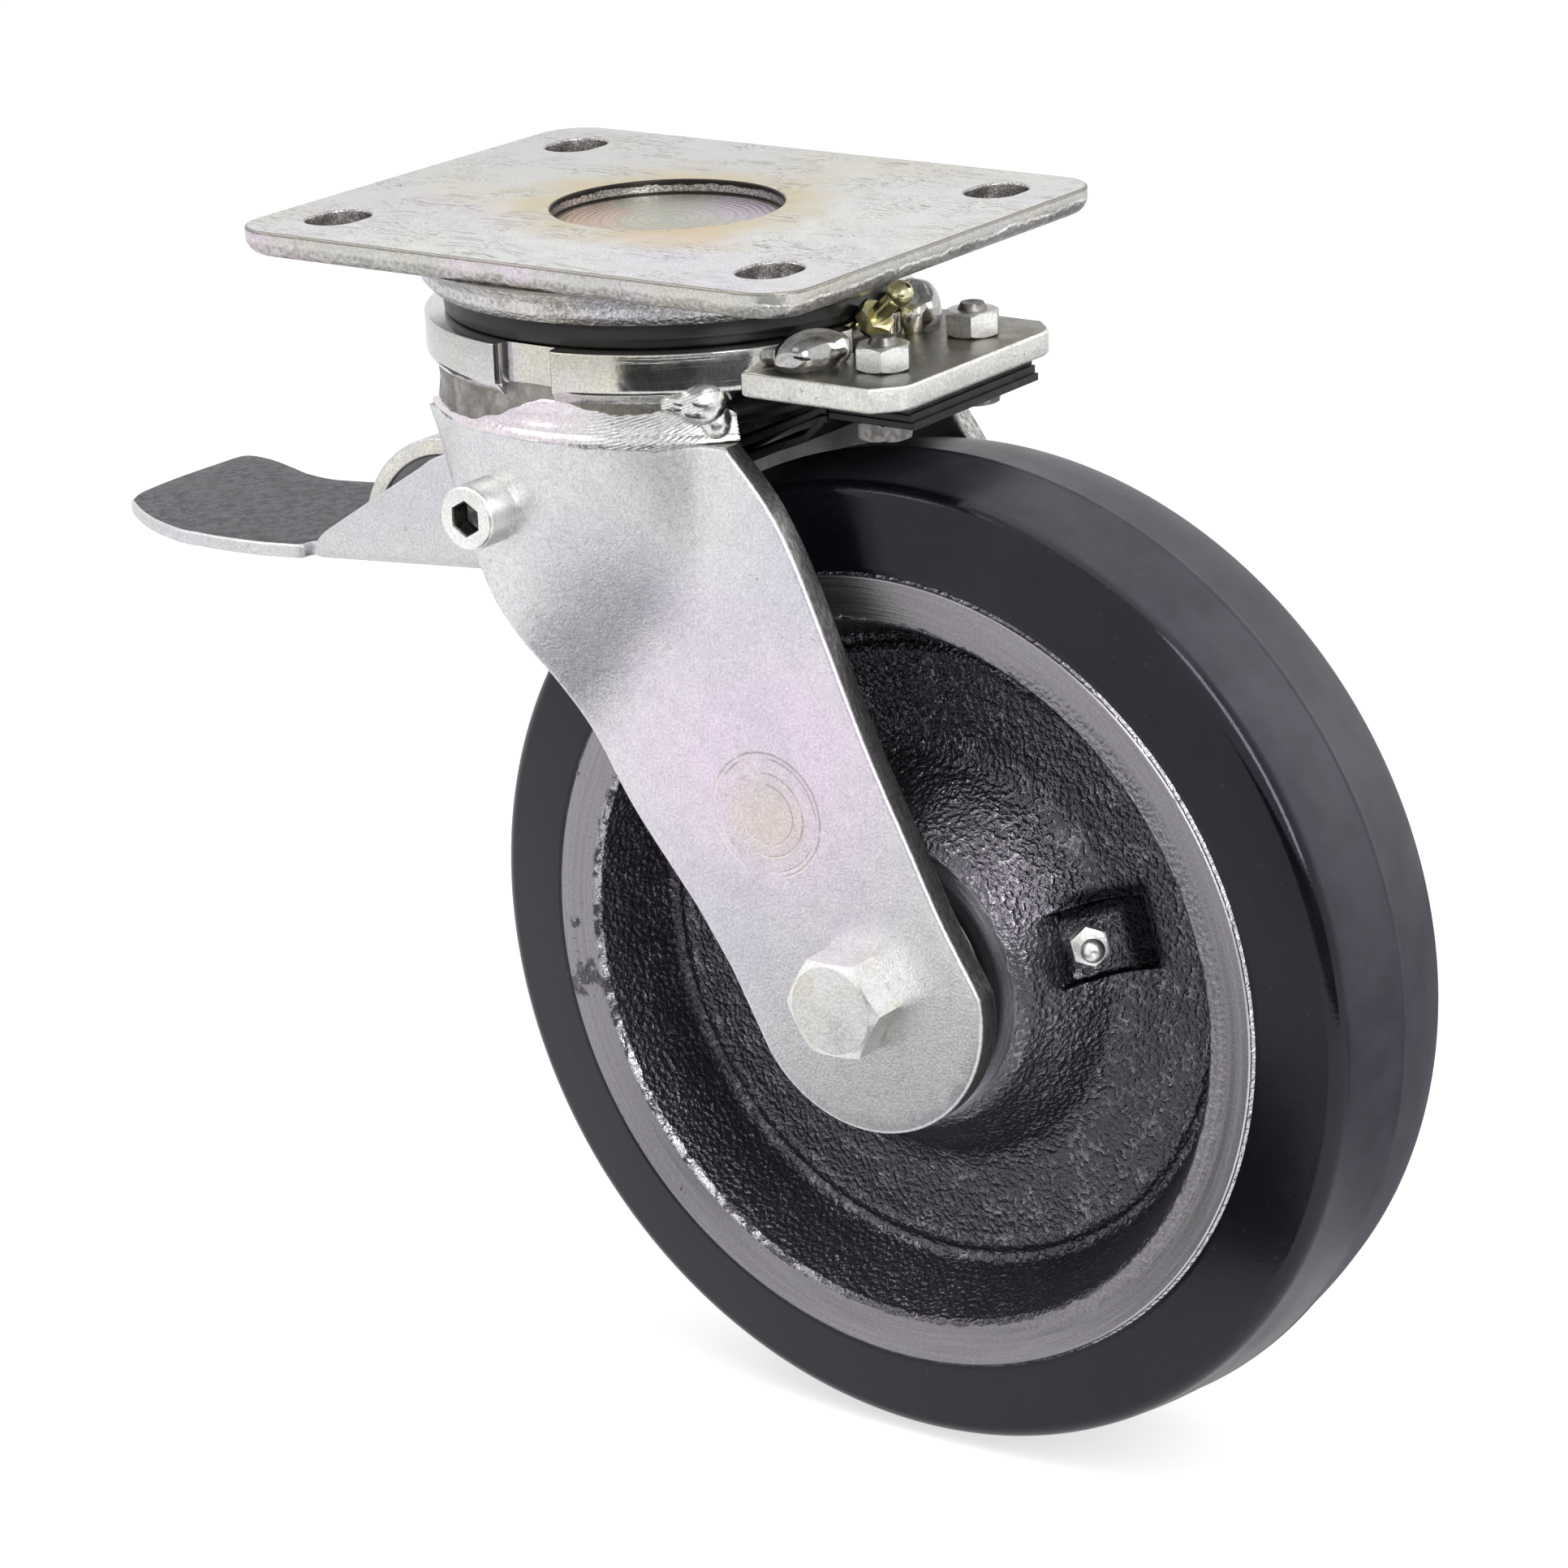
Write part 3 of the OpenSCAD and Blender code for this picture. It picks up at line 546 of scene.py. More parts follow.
@cache
def plating_group():
    """Zinc that drifts to straw and lilac in patches and is mottled all over."""
    g, i, o = shader_group("Plating",
                           [("Vector", "Vector", None), ("Color", "Zinc", (1, 1, 1, 1)),
                            ("Color", "Straw", (1, 1, 1, 1)),
                                       ("Color", "Lilac", (1, 1, 1, 1)), ("Float", "Tint", 0.5),
                            ("Float", "Patch", 0.02)],
                           [("Color", "Color"), ("Float", "Mottle")])
    straw = g.fit(g.noise(i["Vector"], i["Patch"], 3, 0.55, 0.6), 0.47, 0.70)
    moved = g.vector("ADD", i["Vector"], (170, 90, 40))
    lilac = g.fit(g.noise(moved, i["Patch"], 3, 0.55, 0.6), 0.45, 0.68)
    colour = g.mix(g.times(straw, i["Tint"]), i["Zinc"], i["Straw"])
    colour = g.mix(g.times(lilac, i["Tint"]), colour, i["Lilac"])
    mottle = g.noise(i["Vector"], 0.22, 5, 0.62, 0.3)
    sand = g.noise(g.vector("ADD", i["Vector"], (3, 71, 19)), 1.9, 2, 0.6)
    shade = g.times(g.fit(mottle, 0.25, 0.75, 0.95, 1.04), g.fit(sand, 0.28, 0.72, 0.84, 1.12))
    g.tree.links.new(g.mix(1.0, colour, g.join(shade, shade, shade), "MULTIPLY"), o["Color"])
    g.tree.links.new(mottle, o["Mottle"])
    return g.tree


@cache
def grain_group():
    """Fine blasted grain with bright specks and small dark pits."""
    g, i, o = shader_group("Blast grain", [("Vector", "Vector", None), ("Float", "Scale", 1.0)],
                           [("Float", "Height"), ("Float", "Specks"), ("Float", "Pits")])
    fine = g.noise(i["Vector"], i["Scale"], 3, 0.6)
    wide = g.noise(i["Vector"], g.times(i["Scale"], 0.37), 2, 0.5)
    g.tree.links.new(g.plus(fine, g.times(wide, 0.6)), o["Height"])
    g.tree.links.new(g.fit(g.noise(g.vector("ADD", i["Vector"], (31, 7, 13)), i["Scale"], 1, 0.5), 0.64, 0.74),
                     o["Specks"])
    spots = g.noise(g.vector("ADD", i["Vector"], (5, 61, 23)), g.times(i["Scale"], 0.55), 1, 0.5)
    patches = g.fit(g.noise(i["Vector"], 0.045, 2), 0.45, 0.7)
    g.tree.links.new(g.times(g.fit(spots, 0.69, 0.76), patches), o["Pits"])
    return g.tree


@cache
def scratch_group():
    """Sparse hair scratches that run in several directions."""
    g, i, o = shader_group("Hair scratches", [("Vector", "Vector", None), ("Float", "Density", 0.5)],
                           [("Float", "Mask")])
    bent = g.vector("ADD", i["Vector"],
                    g.vector("SCALE", g.add("ShaderNodeTexNoise",
                                            {"Vector": i["Vector"], "Scale": 0.03}).outputs[1]))
    bent.node.inputs[1].links[0].from_node.inputs["Scale"].default_value = 14.0
    total = None
    for turn, cut, place in ((12, 0.0, 0), (38, 0.01, 70), (58, 0.012, 40), (103, 0.0, 90), (128, 0.01, 210),
                             (151, 0.016, 150)):
        lines = g.noise(g.mapped(bent, (turn * 0.4, turn * 0.7, turn), (2.6, 0.022, 2.6), (place, place, 0)), 1.0,
                        1, 0.4)
        edge = g.minus(0.745 + cut, g.times(i["Density"], 0.06))
        line = g.fit(lines, edge, g.plus(edge, 0.018))
        total = line if total is None else g.most(total, line)
    gaps = g.fit(g.noise(i["Vector"], 0.06, 2), 0.40, 0.58)
    g.tree.links.new(g.times(total, gaps), o["Mask"])
    return g.tree


@cache
def cast_group():
    """Bumpy skin of a sand casting or a forging."""
    g, i, o = shader_group("Cast skin", [("Vector", "Vector", None), ("Float", "Scale", 0.6)],
                           [("Float", "Height"), ("Float", "Pits")])
    lumps = g.noise(i["Vector"], i["Scale"], 1.6, 0.5)
    cells = g.add("ShaderNodeTexVoronoi", {"Vector": i["Vector"], "Scale": g.times(i["Scale"], 0.9)},
                  feature="SMOOTH_F1").outputs[0]
    slow = g.noise(i["Vector"], g.times(i["Scale"], 0.16), 2, 0.5)
    height = g.plus(lumps, g.times(cells, -0.35))
    g.tree.links.new(g.plus(height, g.times(slow, 0.8)), o["Height"])
    holes = g.noise(g.vector("ADD", i["Vector"], (17, 3, 41)), g.times(i["Scale"], 0.42), 1, 0.5)
    g.tree.links.new(g.fit(holes, 0.71, 0.78), o["Pits"])
    return g.tree


def new_material(name):
    """Material with its surface shader and object coordinates in millimetres."""
    made = bpy.data.materials.new(name)
    made.use_nodes = True
    g = Graph(made.node_tree)
    shader = made.node_tree.nodes["Principled BSDF"]
    place = g.vector("SCALE", g.add("ShaderNodeTexCoord").outputs["Object"])
    place.node.inputs["Scale"].default_value = MM
    return made, g, shader, place


def use(g, tree, **sockets):
    """Outputs of a group placed in a material."""
    made = g.add("ShaderNodeGroup", None, node_tree=tree)
    for key, value in sockets.items():
        if isinstance(value, bpy.types.NodeSocket):
            g.tree.links.new(value, made.inputs[key])
        else:
            made.inputs[key].default_value = value
    return made.outputs


def surface(g, shader, colour=None, rough=None, metal=1.0, height=None, depth=0.0001, strength=1.0):
    """Joins colour, roughness and bump to the shader."""
    for key, value in (("Base Color", colour), ("Roughness", rough), ("Metallic", metal)):
        if isinstance(value, bpy.types.NodeSocket):
            g.tree.links.new(value, shader.inputs[key])
        elif value is not None:
            shader.inputs[key].default_value = value
    if height is not None:
        bump = g.add("ShaderNodeBump", {"Strength": strength, "Distance": depth, "Height": height})
        g.tree.links.new(bump.outputs[0], shader.inputs["Normal"])


def from_axle(g, y, z):
    """Vector to a point from the axle's line."""
    return g.join(0.0, g.minus(y, AXLE_Y), g.minus(z, AXLE_Z))


@cache
def leg_zinc():
    """Blasted zinc of the legs: a pink bloom and a straw stain on the flat, tool rings painted lit above and
    shaded below, and sandy grain.
    """
    c = colours()
    made, g, shader, p = new_material("leg_zinc")
    grain = use(g, grain_group(), Vector=p, Scale=1.7)
    y, z = g.split(p)[1:]
    flat = g.join(0.0, y, z)
    wander = g.times(g.noise(p, 0.05, 3), 26.0)
    bloom = g.fit(g.plus(g.vector("DISTANCE", flat, (0, 44, -100)), wander), 60.0, 22.0)
    zinc = g.mix(g.times(bloom, 0.85), (0.765, 0.765, 0.775, 1), c.pink)
    ring_d = g.vector("DISTANCE", flat, (0, 45.3, -109.4))
    stain = g.fit(g.plus(ring_d, g.times(wander, 0.4)), 20.0, 7.0)
    zinc = g.mix(g.times(stain, 0.55), zinc, c.straw)
    colour = use(g, plating_group(), Vector=p, Zinc=zinc, Straw=zinc, Lilac=c.lilac, Tint=0.6,
                 Patch=0.021)["Color"]
    rings = None
    for radius, width in ((12.7, 0.20), (11.7, 0.16), (8.6, 0.16), (6.2, 0.14)):
        line = g.fit(g.math("ABSOLUTE", g.minus(ring_d, radius)), width + 0.12, 0.5 * width)
        line = g.times(line, g.fit(g.noise(g.vector("ADD", p, (radius * 9, 0, 0)), 0.10, 2), 0.40, 0.50))
        rings = line if rings is None else g.most(rings, line)
    # Tool rings round the axle bolt are painted pale on their upper side and dark brown on their lower side, as
    # painted light and shade.
    upper = g.fit(g.vector("DOT_PRODUCT", g.vector("SUBTRACT", flat, (0, 45.3, -109.4)), (0, 0.55, 0.83)), -4.0,
                  4.0)
    colour = g.mix(g.times(rings, 0.6), colour, g.mix(upper, (0.95, 0.92, 0.84, 1), (0.36, 0.30, 0.27, 1)))
    coarse = g.noise(p, 0.75, 5, 0.75)
    colour = g.mix(g.times(g.fit(coarse, 0.53, 0.72), 0.45), colour, (0.40, 0.39, 0.40, 1))
    colour = g.mix(g.times(g.fit(coarse, 0.45, 0.30), 0.45), colour, (0.95, 0.95, 0.95, 1))
    colour = g.mix(g.times(grain["Specks"], 0.55), colour, (0.94, 0.94, 0.93, 1))
    colour = g.mix(g.times(grain["Pits"], 0.65), colour, (0.20, 0.19, 0.18, 1))
    rough = g.fit(grain["Height"], 0.4, 1.1, 0.33, 0.45)
    height = g.minus(grain["Height"], g.times(rings, 0.5))
    surface(g, shader, colour, rough, 1.0, height, 0.00013, 0.6)
    return made


@cache
def leg_edge():
    """Sawn edges of the legs: painted darker grey than the faces as a painted dark reflection, and drawn out in
    lines along the edge.
    """
    c = colours()
    made, g, shader, p = new_material("leg_edge")
    lines = g.noise(g.mapped(p, (26, 0, 0), (1.5, 1.1, 0.10)), 1.0, 4, 0.65)
    grain = use(g, grain_group(), Vector=p, Scale=1.5)
    # The darker grey stands in for the dark reflection along the edges (painted reflection); the lines are the
    # edge's own grain.
    colour = g.mix(g.fit(lines, 0.36, 0.66), (0.20, 0.195, 0.19, 1), (0.50, 0.495, 0.48, 1))
    colour = g.mix(g.times(grain["Specks"], 0.4), colour, c.zinc)
    surface(g, shader, colour, g.fit(lines, 0.3, 0.7, 0.46, 0.34), 1.0, g.plus(lines, grain["Height"]), 0.00016,
            0.6)
    return made


@cache
def shaded_inner_zinc():
    """Dull zinc painted dark as painted shade, on the faces that look at the wheel and on the pedal's inner faces.
    """
    made, g, shader, p = new_material("shaded_inner_zinc")
    cloud = g.noise(p, 0.12, 4, 0.6)
    grain = use(g, grain_group(), Vector=p, Scale=1.3)
    colour = g.mix(g.fit(cloud, 0.35, 0.65), (0.17, 0.165, 0.16, 1), (0.26, 0.25, 0.25, 1))
    surface(g, shader, colour, g.fit(grain["Height"], 0.4, 1.1, 0.42, 0.56), 1.0, grain["Height"], 0.00014, 0.5)
    return made


@cache
def plate_zinc():
    """Top of the plate: hair scratches and straw stains round the recess."""
    c = colours()
    made, g, shader, p = new_material("plate_zinc")
    base = use(g, plating_group(), Vector=p, Zinc=c.zinc, Straw=c.straw, Lilac=c.lilac, Tint=0.5, Patch=0.017)
    x, y = g.split(p)[:2]
    far = g.vector("LENGTH", g.join(x, y, 0.0))
    stain = g.fit(g.plus(far, g.times(g.noise(p, 0.07, 4), 34.0)), 58.0, 36.0)
    # The top darkens towards its back corner, as painted shade.
    back = g.fit(g.plus(g.times(x, 0.8), g.times(y, 0.6)), 25.0, -45.0)
    colour = g.mix(g.times(back, 0.5), base["Color"], (0.52, 0.515, 0.50, 1))
    colour = g.mix(g.times(stain, 0.85), colour, (0.60, 0.51, 0.33, 1))
    warm = g.fit(g.plus(g.vector("DISTANCE", p, (22, 20, 0)), g.times(g.noise(p, 0.09, 4), 26.0)), 32.0, 16.0)
    colour = g.mix(g.times(warm, 0.55), colour, (0.64, 0.47, 0.29, 1))
    marks = use(g, scratch_group(), Vector=p, Density=1.1)["Mask"]
    grain = use(g, grain_group(), Vector=p, Scale=0.9)
    colour = g.mix(g.times(marks, 0.8), colour, (0.13, 0.11, 0.09, 1))
    colour = g.mix(g.times(grain["Pits"], 0.45), colour, (0.28, 0.25, 0.20, 1))
    rough = g.fit(base["Mottle"], 0.2, 0.8, 0.34, 0.50)
    height = g.minus(g.times(grain["Height"], 0.25), g.times(marks, 0.6))
    surface(g, shader, colour, rough, 1.0, height, 0.00006, 0.5)
    return made


@cache
def recess_zinc():
    """Turned floor of the recess with its rings and pink tint."""
    made, g, shader, p = new_material("recess_zinc")
    x, y = g.split(p)[:2]
    far = g.vector("LENGTH", g.join(x, y, 0.0))
    wobble = g.plus(far, g.times(g.noise(p, 0.2, 3), 1.3))
    rings = g.math("SINE", g.times(wobble, 4.6))
    slow = g.noise(g.join(wobble, 0.0, 0.0), 0.8, 3)
    side = g.plus(g.times(g.minus(y, x), 0.7), g.times(g.minus(g.noise(p, 0.08, 3), 0.5), 24.0))
    colour = g.mix(g.fit(side, -16.0, -2.0), (0.60, 0.44, 0.34, 1), (0.50, 0.50, 0.42, 1))
    colour = g.mix(g.fit(side, 3.0, 16.0), colour, (0.54, 0.47, 0.56, 1))
    colour = g.mix(g.times(g.fit(slow, 0.45, 0.65), 0.5), colour, (0.34, 0.32, 0.29, 1))
    # The floor darkens next to the recess wall, as painted shade.
    colour = g.mix(g.fit(far, 21.6, 22.6), colour, (0.16, 0.14, 0.12, 1))
    surface(g, shader, colour, g.fit(rings, -1.0, 1.0, 0.26, 0.42), 1.0, g.plus(rings, slow), 0.00005, 0.5)
    return made


@cache
def slot_wall():
    """Speckled punched walls of the slots, and the recess wall painted near black below a ragged line as painted
    shade.
    """
    made, g, shader, p = new_material("slot_wall")
    speck = g.noise(p, 2.2, 3, 0.6)
    z = g.split(p)[2]
    colour = g.mix(g.fit(speck, 0.40, 0.62), (0.22, 0.20, 0.19, 1), (0.60, 0.58, 0.58, 1))
    # Below a ragged line the recess wall is painted near black, as painted shade.
    ragged_shade = g.plus(z, g.times(g.minus(g.noise(p, 0.35, 4, 0.65), 0.5), 1.6))
    middle = g.fit(g.vector("LENGTH", p), 30.0, 28.0)
    colour = g.mix(g.times(g.fit(ragged_shade, -1.15, -0.85), middle), colour, (0.035, 0.03, 0.028, 1))
    colour = g.mix(g.times(g.fit(z, -2.2, -2.6), middle), colour, (0.05, 0.045, 0.04, 1))
    surface(g, shader, colour, g.fit(speck, 0.3, 0.7, 0.34, 0.24), 1.0, speck, 0.00012, 0.6)
    return made


@cache
def forged_skin():
    """Plated forging: rough skin with dull grey hollows and bright crests."""
    c = colours()
    made, g, shader, p = new_material("forged_skin")
    base = use(g, plating_group(), Vector=p, Zinc=c.zinc, Straw=c.straw, Lilac=c.lilac, Tint=0.55, Patch=0.03)
    skin = use(g, cast_group(), Vector=p, Scale=1.0)
    low = g.fit(skin["Height"], 0.85, 0.45)
    colour = g.mix(g.times(low, 0.55), base["Color"], (0.26, 0.25, 0.23, 1))
    colour = g.mix(g.times(skin["Pits"], 0.6), colour, (0.12, 0.11, 0.10, 1))
    surface(g, shader, colour, g.fit(skin["Height"], 0.4, 1.1, 0.44, 0.30), 1.0, skin["Height"], 0.00045, 0.95)
    return made


@cache
def neck_forging():
    """Dull brownish skin of the head's neck."""
    made, g, shader, p = new_material("neck_forging")
    base = use(g, plating_group(), Vector=p, Zinc=(0.22, 0.21, 0.185, 1), Straw=(0.16, 0.145, 0.115, 1),
               Lilac=(0.42, 0.40, 0.39, 1), Tint=0.9, Patch=0.10)
    skin = use(g, cast_group(), Vector=g.mapped(p, (0, 0, 0), (0.6, 0.6, 1.0)), Scale=0.8)
    colour = g.mix(g.times(skin["Pits"], 0.5), base["Color"], (0.14, 0.13, 0.12, 1))
    surface(g, shader, colour, g.fit(skin["Height"], 0.4, 1.1, 0.48, 0.34), 1.0, skin["Height"], 0.0004, 0.8)
    return made


@cache
def plate_edge():
    """Plate's edge: a pale dressed band above a rough forged curve."""
    c = colours()
    made, g, shader, p = new_material("plate_edge")
    base = use(g, plating_group(), Vector=p, Zinc=(0.64, 0.635, 0.61, 1), Straw=c.straw, Lilac=c.pink, Tint=0.6,
               Patch=0.035)
    skin = use(g, cast_group(), Vector=p, Scale=0.95)
    z = g.split(p)[2]
    ragged = g.plus(z, g.times(g.minus(g.noise(p, 0.12, 4, 0.65), 0.5), 2.6))
    forged = g.fit(ragged, -2.1, -2.9)
    line = g.fit(g.plus(z, g.times(g.noise(p, 0.5, 3), 0.5)), -0.45, -0.15)
    hollow = g.times(g.fit(skin["Height"], 0.95, 0.45), forged)
    colour = g.mix(g.times(hollow, 0.7), base["Color"], (0.20, 0.19, 0.17, 1))
    colour = g.mix(g.times(forged, 0.25), colour, (0.42, 0.40, 0.36, 1))
    colour = g.mix(g.times(line, 0.75), colour, (0.16, 0.145, 0.12, 1))
    dents = g.fit(g.noise(p, 0.30, 3, 0.6), 0.62, 0.70)
    colour = g.mix(g.times(dents, 0.35), colour, (0.30, 0.28, 0.25, 1))
    height = g.add("ShaderNodeMix",
                   {0: forged, 2: g.times(g.noise(p, 0.5, 3), 0.35), 3: skin["Height"]}).outputs[0]
    surface(g, shader, colour, g.fit(forged, 0.0, 1.0, 0.36, 0.42), 1.0, height, 0.00042, 0.9)
    return made


@cache
def flange_zinc():
    """Bright smooth zinc of the turned flange."""
    c = colours()
    made, g, shader, p = new_material("flange_zinc")
    base = use(g, plating_group(), Vector=p, Zinc=(0.62, 0.62, 0.60, 1), Straw=c.straw, Lilac=c.lilac, Tint=0.55,
               Patch=0.035)
    marks = use(g, scratch_group(), Vector=p, Density=0.3)["Mask"]
    bands = g.noise(g.mapped(p, (0, 0, 0), (0.05, 0.05, 1.6)), 1.0, 3)
    colour = g.mix(g.times(marks, 0.4), base["Color"], (0.30, 0.29, 0.27, 1))
    rough = g.fit(base["Mottle"], 0.25, 0.75, 0.09, 0.17)
    surface(g, shader, colour, rough, 1.0, g.plus(bands, g.times(base["Mottle"], 1.2)), 0.00008, 0.4)
    return made


@cache
def bracket_zinc():
    """Dull brownish zinc on the bracket's faces."""
    c = colours()
    made, g, shader, p = new_material("bracket_zinc")
    base = use(g, plating_group(), Vector=p, Zinc=(0.22, 0.215, 0.19, 1), Straw=(0.25, 0.21, 0.155, 1),
               Lilac=(0.32, 0.31, 0.29, 1), Tint=0.8, Patch=0.05)
    grain = use(g, grain_group(), Vector=p, Scale=1.2)
    colour = g.mix(g.times(grain["Pits"], 0.6), base["Color"], (0.10, 0.09, 0.08, 1))
    colour = g.mix(g.times(grain["Specks"], 0.3), colour, c.zinc)
    surface(g, shader, colour, g.fit(base["Mottle"], 0.2, 0.8, 0.26, 0.44), 1.0, grain["Height"], 0.00012, 0.5)
    return made


@cache
def bracket_edge():
    """Pale grainy sheared edge of the bracket."""
    c = colours()
    made, g, shader, p = new_material("bracket_edge")
    base = use(g, plating_group(), Vector=p, Zinc=(0.84, 0.83, 0.79, 1), Straw=(0.82, 0.78, 0.66, 1), Lilac=c.zinc,
               Tint=0.5, Patch=0.06)
    grain = use(g, grain_group(), Vector=p, Scale=1.4)
    colour = g.mix(g.times(grain["Pits"], 0.6), base["Color"], (0.25, 0.24, 0.21, 1))
    surface(g, shader, colour, g.fit(grain["Height"], 0.4, 1.1, 0.42, 0.56), 1.0, grain["Height"], 0.00016, 0.6)
    return made


@cache
def weld_zinc():
    """Smooth bright weld metal with a pink bloom, whose thin dark ripples sweep up to the rear end."""
    c = colours()
    made, g, shader, p = new_material("weld_zinc")
    x, y, z = g.split(p)
    turn = g.math("DEGREES", g.math("ARCTAN2", y, g.math("ABSOLUTE", x)))
    pink = g.fit(g.plus(turn, g.times(g.noise(p, 0.12, 3), 14.0)), 26.0, 14.0)
    zinc = g.mix(g.times(pink, 0.6), (0.76, 0.755, 0.74, 1), (0.84, 0.72, 0.80, 1))
    base = use(g, plating_group(), Vector=p, Zinc=zinc, Straw=zinc, Lilac=c.lilac, Tint=0.4, Patch=0.06)
    bow = g.most(g.minus(turn, 9.0), 0.0)
    sway = g.times(g.minus(g.noise(p, 0.16, 3), 0.5), 2.2)
    flow = g.plus(g.minus(z, g.times(g.times(bow, bow), 0.0066)), sway)
    wave = g.math("ABSOLUTE", g.math("SINE", g.times(flow, math.pi / 0.66)))
    zone = g.times(g.fit(turn, 8.0, 24.0), g.fit(turn, 44.0, 42.0))
    lines = g.times(g.fit(wave, 0.42, 0.10), g.times(zone, g.fit(g.noise(p, 0.22, 2), 0.36, 0.52)))
    colour = g.mix(g.times(lines, 0.7), base["Color"], (0.16, 0.15, 0.15, 1))
    soft = g.noise(p, 0.5, 2)
    surface(g, shader, colour, g.fit(soft, 0.3, 0.7, 0.16, 0.30), 1.0, soft, 0.0003, 0.5)
    return made


@cache
def lump_weld():
    """Glossy weld lumps of the bracket."""
    c = colours()
    made, g, shader, p = new_material("lump_weld")
    base = use(g, plating_group(), Vector=p, Zinc=(0.52, 0.515, 0.50, 1), Straw=c.straw,
               Lilac=(0.42, 0.40, 0.42, 1), Tint=0.5, Patch=0.08)
    wave = g.noise(p, 0.3, 2, 0.5)
    surface(g, shader, base["Color"], g.fit(wave, 0.3, 0.7, 0.09, 0.16), 1.0, wave, 0.0003, 0.5)
    return made


@cache
def bolt_zinc():
    """Creamy bright plate of bolts, nuts and screws, painted darker as painted shade where it turns away from the
    view.
    """
    c = colours()
    made, g, shader, p = new_material("bolt_zinc")
    base = use(g, plating_group(), Vector=p, Zinc=c.fastener, Straw=c.straw, Lilac=c.zinc, Tint=0.4, Patch=0.09)
    grain = use(g, grain_group(), Vector=p, Scale=1.1)
    colour = g.mix(g.times(grain["Pits"], 0.5), base["Color"], (0.24, 0.23, 0.20, 1))
    # Faces turned away from the view are painted darker, as painted shade.
    painted_side_shade = g.add("ShaderNodeLayerWeight", {"Blend": 0.30}).outputs["Facing"]
    colour = g.mix(g.times(g.fit(painted_side_shade, 0.42, 0.85), 0.7), colour, (0.20, 0.19, 0.18, 1))
    surface(g, shader, colour, g.fit(base["Mottle"], 0.2, 0.8, 0.28, 0.46), 1.0, grain["Height"], 0.00010, 0.5)
    return made


@cache
def thread_steel_and_socket_shade():
    """Dull grey of threads, also laid in the screw sockets as painted shade."""
    made, g, shader, p = new_material("thread_steel_and_socket_shade")
    soft = g.noise(p, 0.7, 3)
    colour = g.mix(g.fit(soft, 0.35, 0.65), (0.13, 0.125, 0.12, 1), (0.30, 0.29, 0.28, 1))
    surface(g, shader, colour, g.fit(soft, 0.3, 0.7, 0.30, 0.44), 1.0, soft, 0.0001, 0.5)
    return made


@cache
def yellow_plate():
    """Yellow passivated zinc of the swivel nipple."""
    c = colours()
    made, g, shader, p = new_material("yellow_plate")
    base = use(g, plating_group(), Vector=p, Zinc=c.brass_zinc, Straw=(0.80, 0.78, 0.55, 1), Lilac=c.zinc,
               Tint=0.5, Patch=0.12)
    surface(g, shader, base["Color"], g.fit(base["Mottle"], 0.2, 0.8, 0.16, 0.32), 1.0, base["Mottle"], 0.0001,
            0.4)
    return made


